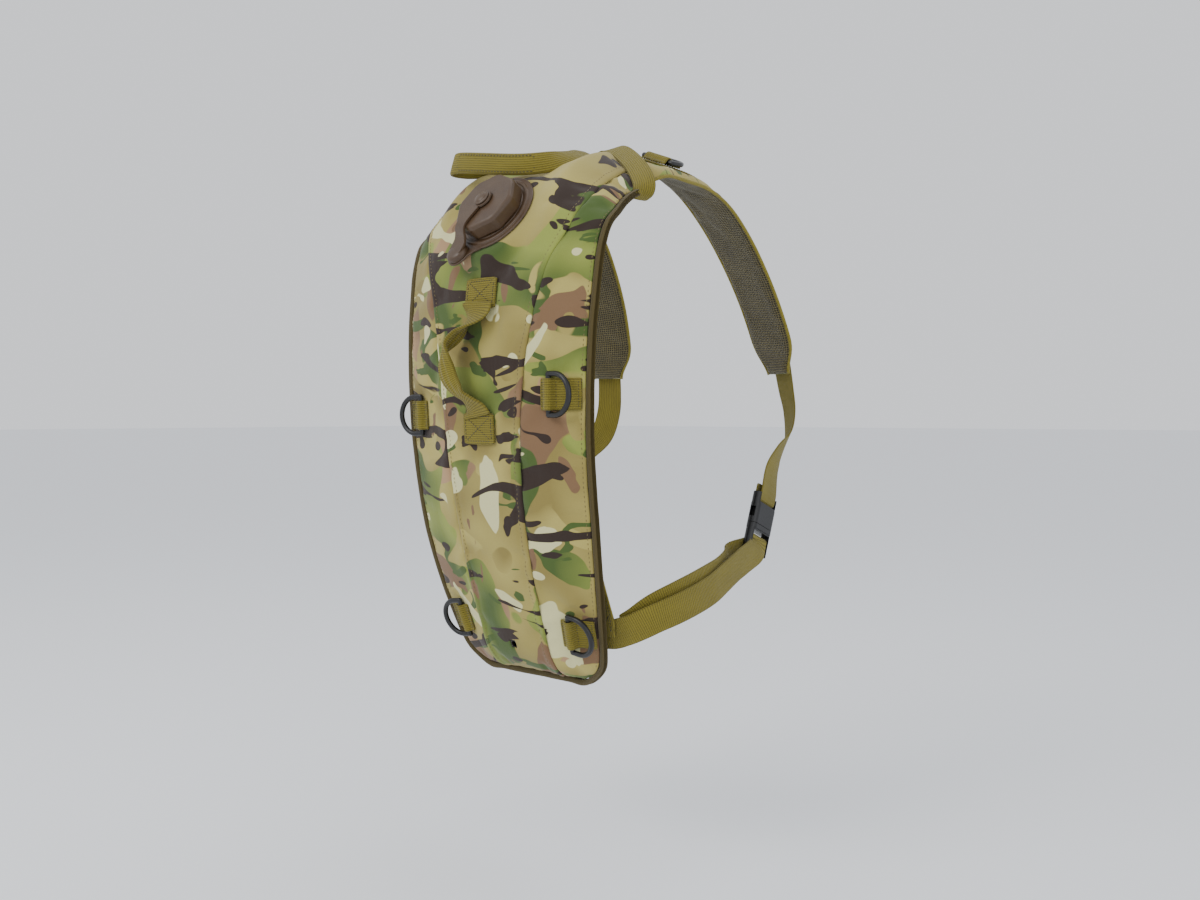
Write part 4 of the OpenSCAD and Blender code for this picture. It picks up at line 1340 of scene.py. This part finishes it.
def edge_stitches(path, across, side, places):
    """Stitched lines on a strap, at places across it."""
    u, v = strap_frame(path, across)
    return [stitches(mirrored(path + u * x + v * 0.75, side), mirrored(v, side))
            for x in places]


BUCKLE_AT = vec(124, 224, -112)
HANG = 21.8
BUCKLE_TURN = turn("x", -HANG)
at_buckle = placed(BUCKLE_AT, BUCKLE_TURN)
LEG = 2.9
SOCKET_BAR, PLUG_BAR = 24, -12


def around_bar(bar, before, after):
    """Webbing keys around a buckle's bar, from the points before it to those after it."""
    angles = range(90, 271, 30) if bar > 0 else range(90, -91, -30)
    turned = [(LEG * math.sin(math.radians(a)), 0, bar + LEG * math.cos(math.radians(a)))
              for a in angles]
    way = BUCKLE_TURN @ vec(0, -1, 0)
    return [np.concatenate([at_buckle(p), way]) for p in [*before, *turned, *after]]


def make_shoulder_webbing(name, side):
    """Webbing sewn along the pad, hanging free below it down to the buckle's socket."""
    path, across, _ = resample(PAD_KEYS[2:], 4.0)
    u, v = strap_frame(path, across)
    over = path + v * 2.0
    free = np.array([
        [109, 296.5, 12, 0.88, -0.42, 0], [112, 298, -10, 0.8, -0.55, 0.05],
        [115, 290, -33, 0.6, -0.65, 0.3], [118, 268, -49, 0.35, -0.85, 0.5],
        [121, 251, -64, 0.1, -0.93, 0.45]])
    last = around_bar(SOCKET_BAR, [(LEG, 0, SOCKET_BAR + 8)], [(-LEG, 0, SOCKET_BAR + 14)])
    keys = np.vstack([np.hstack([over, u])[::4], free, last])
    path, across, _ = resample(keys, 2.5)
    strap(f"shoulder_strap_web_{name}", [web_solid(path, across, side)],
          f"shoulder_webbing_{name}")
    sew(f"shoulder_strap_stitches_{name}", edge_stitches(over, u, side, (-10.5, 10.5)))


def make_cross_band(name, side):
    """Webbing across a strap's root, tucked under the yoke's edge at both ends."""
    places = [[56, 98, 202], [49, 101, 203], [45, 104, 208.5], [50, 104, 214.7],
              [60, 101, 213.1], [74, 95, 205.4], [90, 87, 193.9], [102, 80.5, 182],
              [107.5, 77, 173], [107, 75, 165.5], [103, 75, 161]]
    path, across, _ = resample([[*p, 0.35, 0.8, 0.35] for p in places], 2.5)
    strap(f"cross_band_{name}_web", [web_solid(path, across, side, 20)], f"cross_band_{name}")
    lines = edge_stitches(path, across, side, (-8, -5.8, 5.8, 8))
    sew(f"cross_band_{name}_stitches", lines)


def make_lower_webbing(name, side):
    """One strap: from behind the pack's corner to the plug, around its bar and back."""
    load = np.array([
        [72, 63.8, -191, 0.1, -0.3, 1], [84, 64, -190, 0.1, -0.3, 1],
        [96, 64.2, -186, 0.1, -0.3, 1], [106, 66.5, -182, 0.05, -0.3, 1],
        [119.5, 75, -174.5, 0, -0.25, 1], [129, 92, -168, -0.05, -0.25, 1],
        [134, 112, -162, -0.08, -0.3, 1], [135.5, 133, -156, -0.1, -0.35, 1],
        [134.5, 152, -149.5, -0.05, -0.45, 0.95], [133, 172, -142.5, 0, -0.6, 0.85],
        [131, 190, -137.5, 0, -0.8, 0.62]])
    last = around_bar(PLUG_BAR, [(5, -6, -24), (LEG, 0, -16)], [(-LEG, 0, -16), (-5, -6, -24)])
    tail = np.array([
        [119, 188, -135, 0, -0.8, 0.62], [126, 171, -139, 0, -0.6, 0.85],
        [130, 152, -144, -0.05, -0.45, 0.95], [131.3, 133, -148, -0.1, -0.35, 1],
        [129.8, 113, -153, -0.08, -0.3, 1], [125, 94, -159, -0.05, -0.25, 1],
        [115.5, 79, -167, 0, -0.25, 1], [105, 71, -177, 0.05, -0.3, 1],
        [97, 68, -183, 0.1, -0.3, 1]])
    path, across, _ = resample(np.vstack([load, last, tail]), 2.5)
    piece = strap(f"lower_strap_{name}", [web_solid(path, across, side)],
                  f"lower_webbing_{name}", "web_cross", None)
    blend_body(piece, mirrored((100, 68, -180), side),
               mirrored((131, 200, -139), side))


def make_anchor_tab(name, side):
    """Triangular tab between the pack's edge and the lower strap, with a stitched border."""
    z = -166
    place = placed(vec(0, edge_y(z) + 11.4, z), turn("x", 90 - lean(z)), side)
    x = edge_x(z - 26) - 8
    outline = [(x, -26), (x + 16, -26), (x + 19, -10), (x + 17, 12), (x + 16, 26), (x + 12, 26)]
    solid = slab(outline, -0.9, 0.6, 0.3, place, np.array([(*p, 0) for p in outline * 3], float))
    simple(f"anchor_tab_{name}_web", [solid], "web", "pack", "olive_webbing",
           [f"anchor_tab_{name}"], bevel=0.3, flat=40, cloth=True)
    runs = [((14, -22), (16.5, -8)), ((16.5, -8), (14.5, 22)), ((2, -22), (16, -6)),
            ((14, -22), (13, 10))]
    out = heading(place, 0, 0, 1)
    lines = []
    for a, b in runs:
        for h, n in ((0.65, out), (-0.95, -out)):
            line = [place((*mix(a, b, t) + vec(x, 0), h)) for t in np.linspace(0, 1, 8)]
            lines.append(stitches(line, n, pitch=2.8, length=2.1))
    sew(f"anchor_tab_{name}_stitches", lines)


# ---- zip
ZIP_Z, ZIP_HALF = 60, 72


def make_zip():
    """Tape and two rows of coil teeth."""
    place = placed(vec(0, edge_y(ZIP_Z) + 10.37, ZIP_Z), turn("x", -lean(ZIP_Z) - 90))
    end = ZIP_HALF + 8
    tape = [(-end, -13), (end, -13), (end, 13), (-end, 13)]
    coords = np.array([(y, x, 0) for x, y in tape * 3], float)
    solid = slab(tape, 0, 0.9, 0.2, place, coords)
    simple("zip_tape_cloth", [solid], "binding", "pack", "black_plastic", bevel=0.2, flat=40,
           cloth=True)
    wire = [(0.42 * math.cos(a), 0.5 * math.sin(a)) for a in around(6)]
    parts = []
    for k in range(2 * ZIP_HALF):
        x = -ZIP_HALF + k + 0.5
        s = 1 if k % 2 else -1
        line = [place(q) for q in ((x, s * 2.4, 0.8), (x + 0.2, s * 2.1, 1.7),
                                   (x + 0.3, s * 0.4, 1.85), (x + 0.1, -s * 0.7, 1.1))]
        parts.append(sweep(line, (1, 0, 0), wire))
    simple("zip_coil", parts, "black", "pack", "black_plastic", ["zip_tape"])


# ---- CAD nodes that stay
def dress_nodes():
    """Materials for the CAD parts whose shape is right; buckles, latches, zip slider get rounded.
    """
    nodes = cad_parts
    dress = {
        "rubber": ["cap_gasket"], "film": ["reservoir"], "foil": ["insulation_liner"],
        "brown": ["fill_neck"], "metal": ["drain_washer", "zip_slider"],
        "black": ["hose_outlet"] + [n for n in nodes if "buckle" in n or "latch" in n]
                 + [n for n in nodes if "dring" in n and "loop" not in n],
    }
    rounded = {"buckle": 0.9, "latch": 0.4, "zip_slider": 0.3}
    for material, names in dress.items():
        for name in names:
            obj = nodes[name]
            obj.data.materials.clear()
            obj.data.materials.append(MATERIALS[material])
            obj.data.polygons.foreach_set("use_smooth", [True] * len(obj.data.polygons))
            sharpen(obj, 35)
            for key, radius in rounded.items():
                if key in name:
                    refine(obj, bevel=radius, angle=40)


# ---- stage
FLOOR_HALF, FLOOR_DROP = 30.0, 0.16
LAMPS_AIM = Vector((0, -0.05, -0.2))
# Each lamp's name, place, width and power.
LAMPS = (("key", (-0.5, -1.6, 1.0), 0.9, 16), ("fill", (1.5, -0.6, 0.2), 1.4, 5),
         ("top", (0.1, 0.3, 1.3), 1.0, 4))


def make_stage():
    """A plain pale floor under soft studio light."""
    g = Graph("stage", rough=0.9)
    g.finish(linear((240, 242, 245)))
    low = CAD_BOX[0][2] - FLOOR_DROP
    corners = [(-1, -1), (1, -1), (1, 1), (-1, 1)]
    mesh = bpy.data.meshes.new("floor")
    mesh.from_pydata([(x * FLOOR_HALF, y * FLOOR_HALF, low) for x, y in corners], [],
                     [[0, 1, 2, 3]])
    mesh.materials.append(g.mat)
    link("floor", mesh)
    world = bpy.data.worlds.new("studio")
    world.use_nodes = True
    background = world.node_tree.nodes["Background"]
    background.inputs[0].default_value = linear((232, 234, 238))
    background.inputs[1].default_value = 1.2
    bpy.context.scene.world = world
    for name, place, width, power in LAMPS:
        data = bpy.data.lights.new(name, "AREA")
        data.size = width
        data.energy = power
        lamp = bpy.data.objects.new(name, data)
        lamp.location = place
        aim = LAMPS_AIM - Vector(place)
        lamp.rotation_euler = aim.to_track_quat("-Z", "Y").to_euler()
        bpy.context.scene.collection.objects.link(lamp)


# ---- everything
make_camera()
shells = make_shell()
make_seam_stitches(shells)
make_edge_binding()
make_neckline_binding()
make_back()
make_top_handle()
make_front_handle()
make_loops()
make_collar()
make_cap()
make_tether()
make_drain()
for side_name, side_sign in SIDES.items():
    make_pad(side_name, side_sign)
    make_shoulder_webbing(side_name, side_sign)
    make_cross_band(side_name, side_sign)
    make_lower_webbing(side_name, side_sign)
    make_anchor_tab(side_name, side_sign)
make_zip()
dress_nodes()
make_stage()
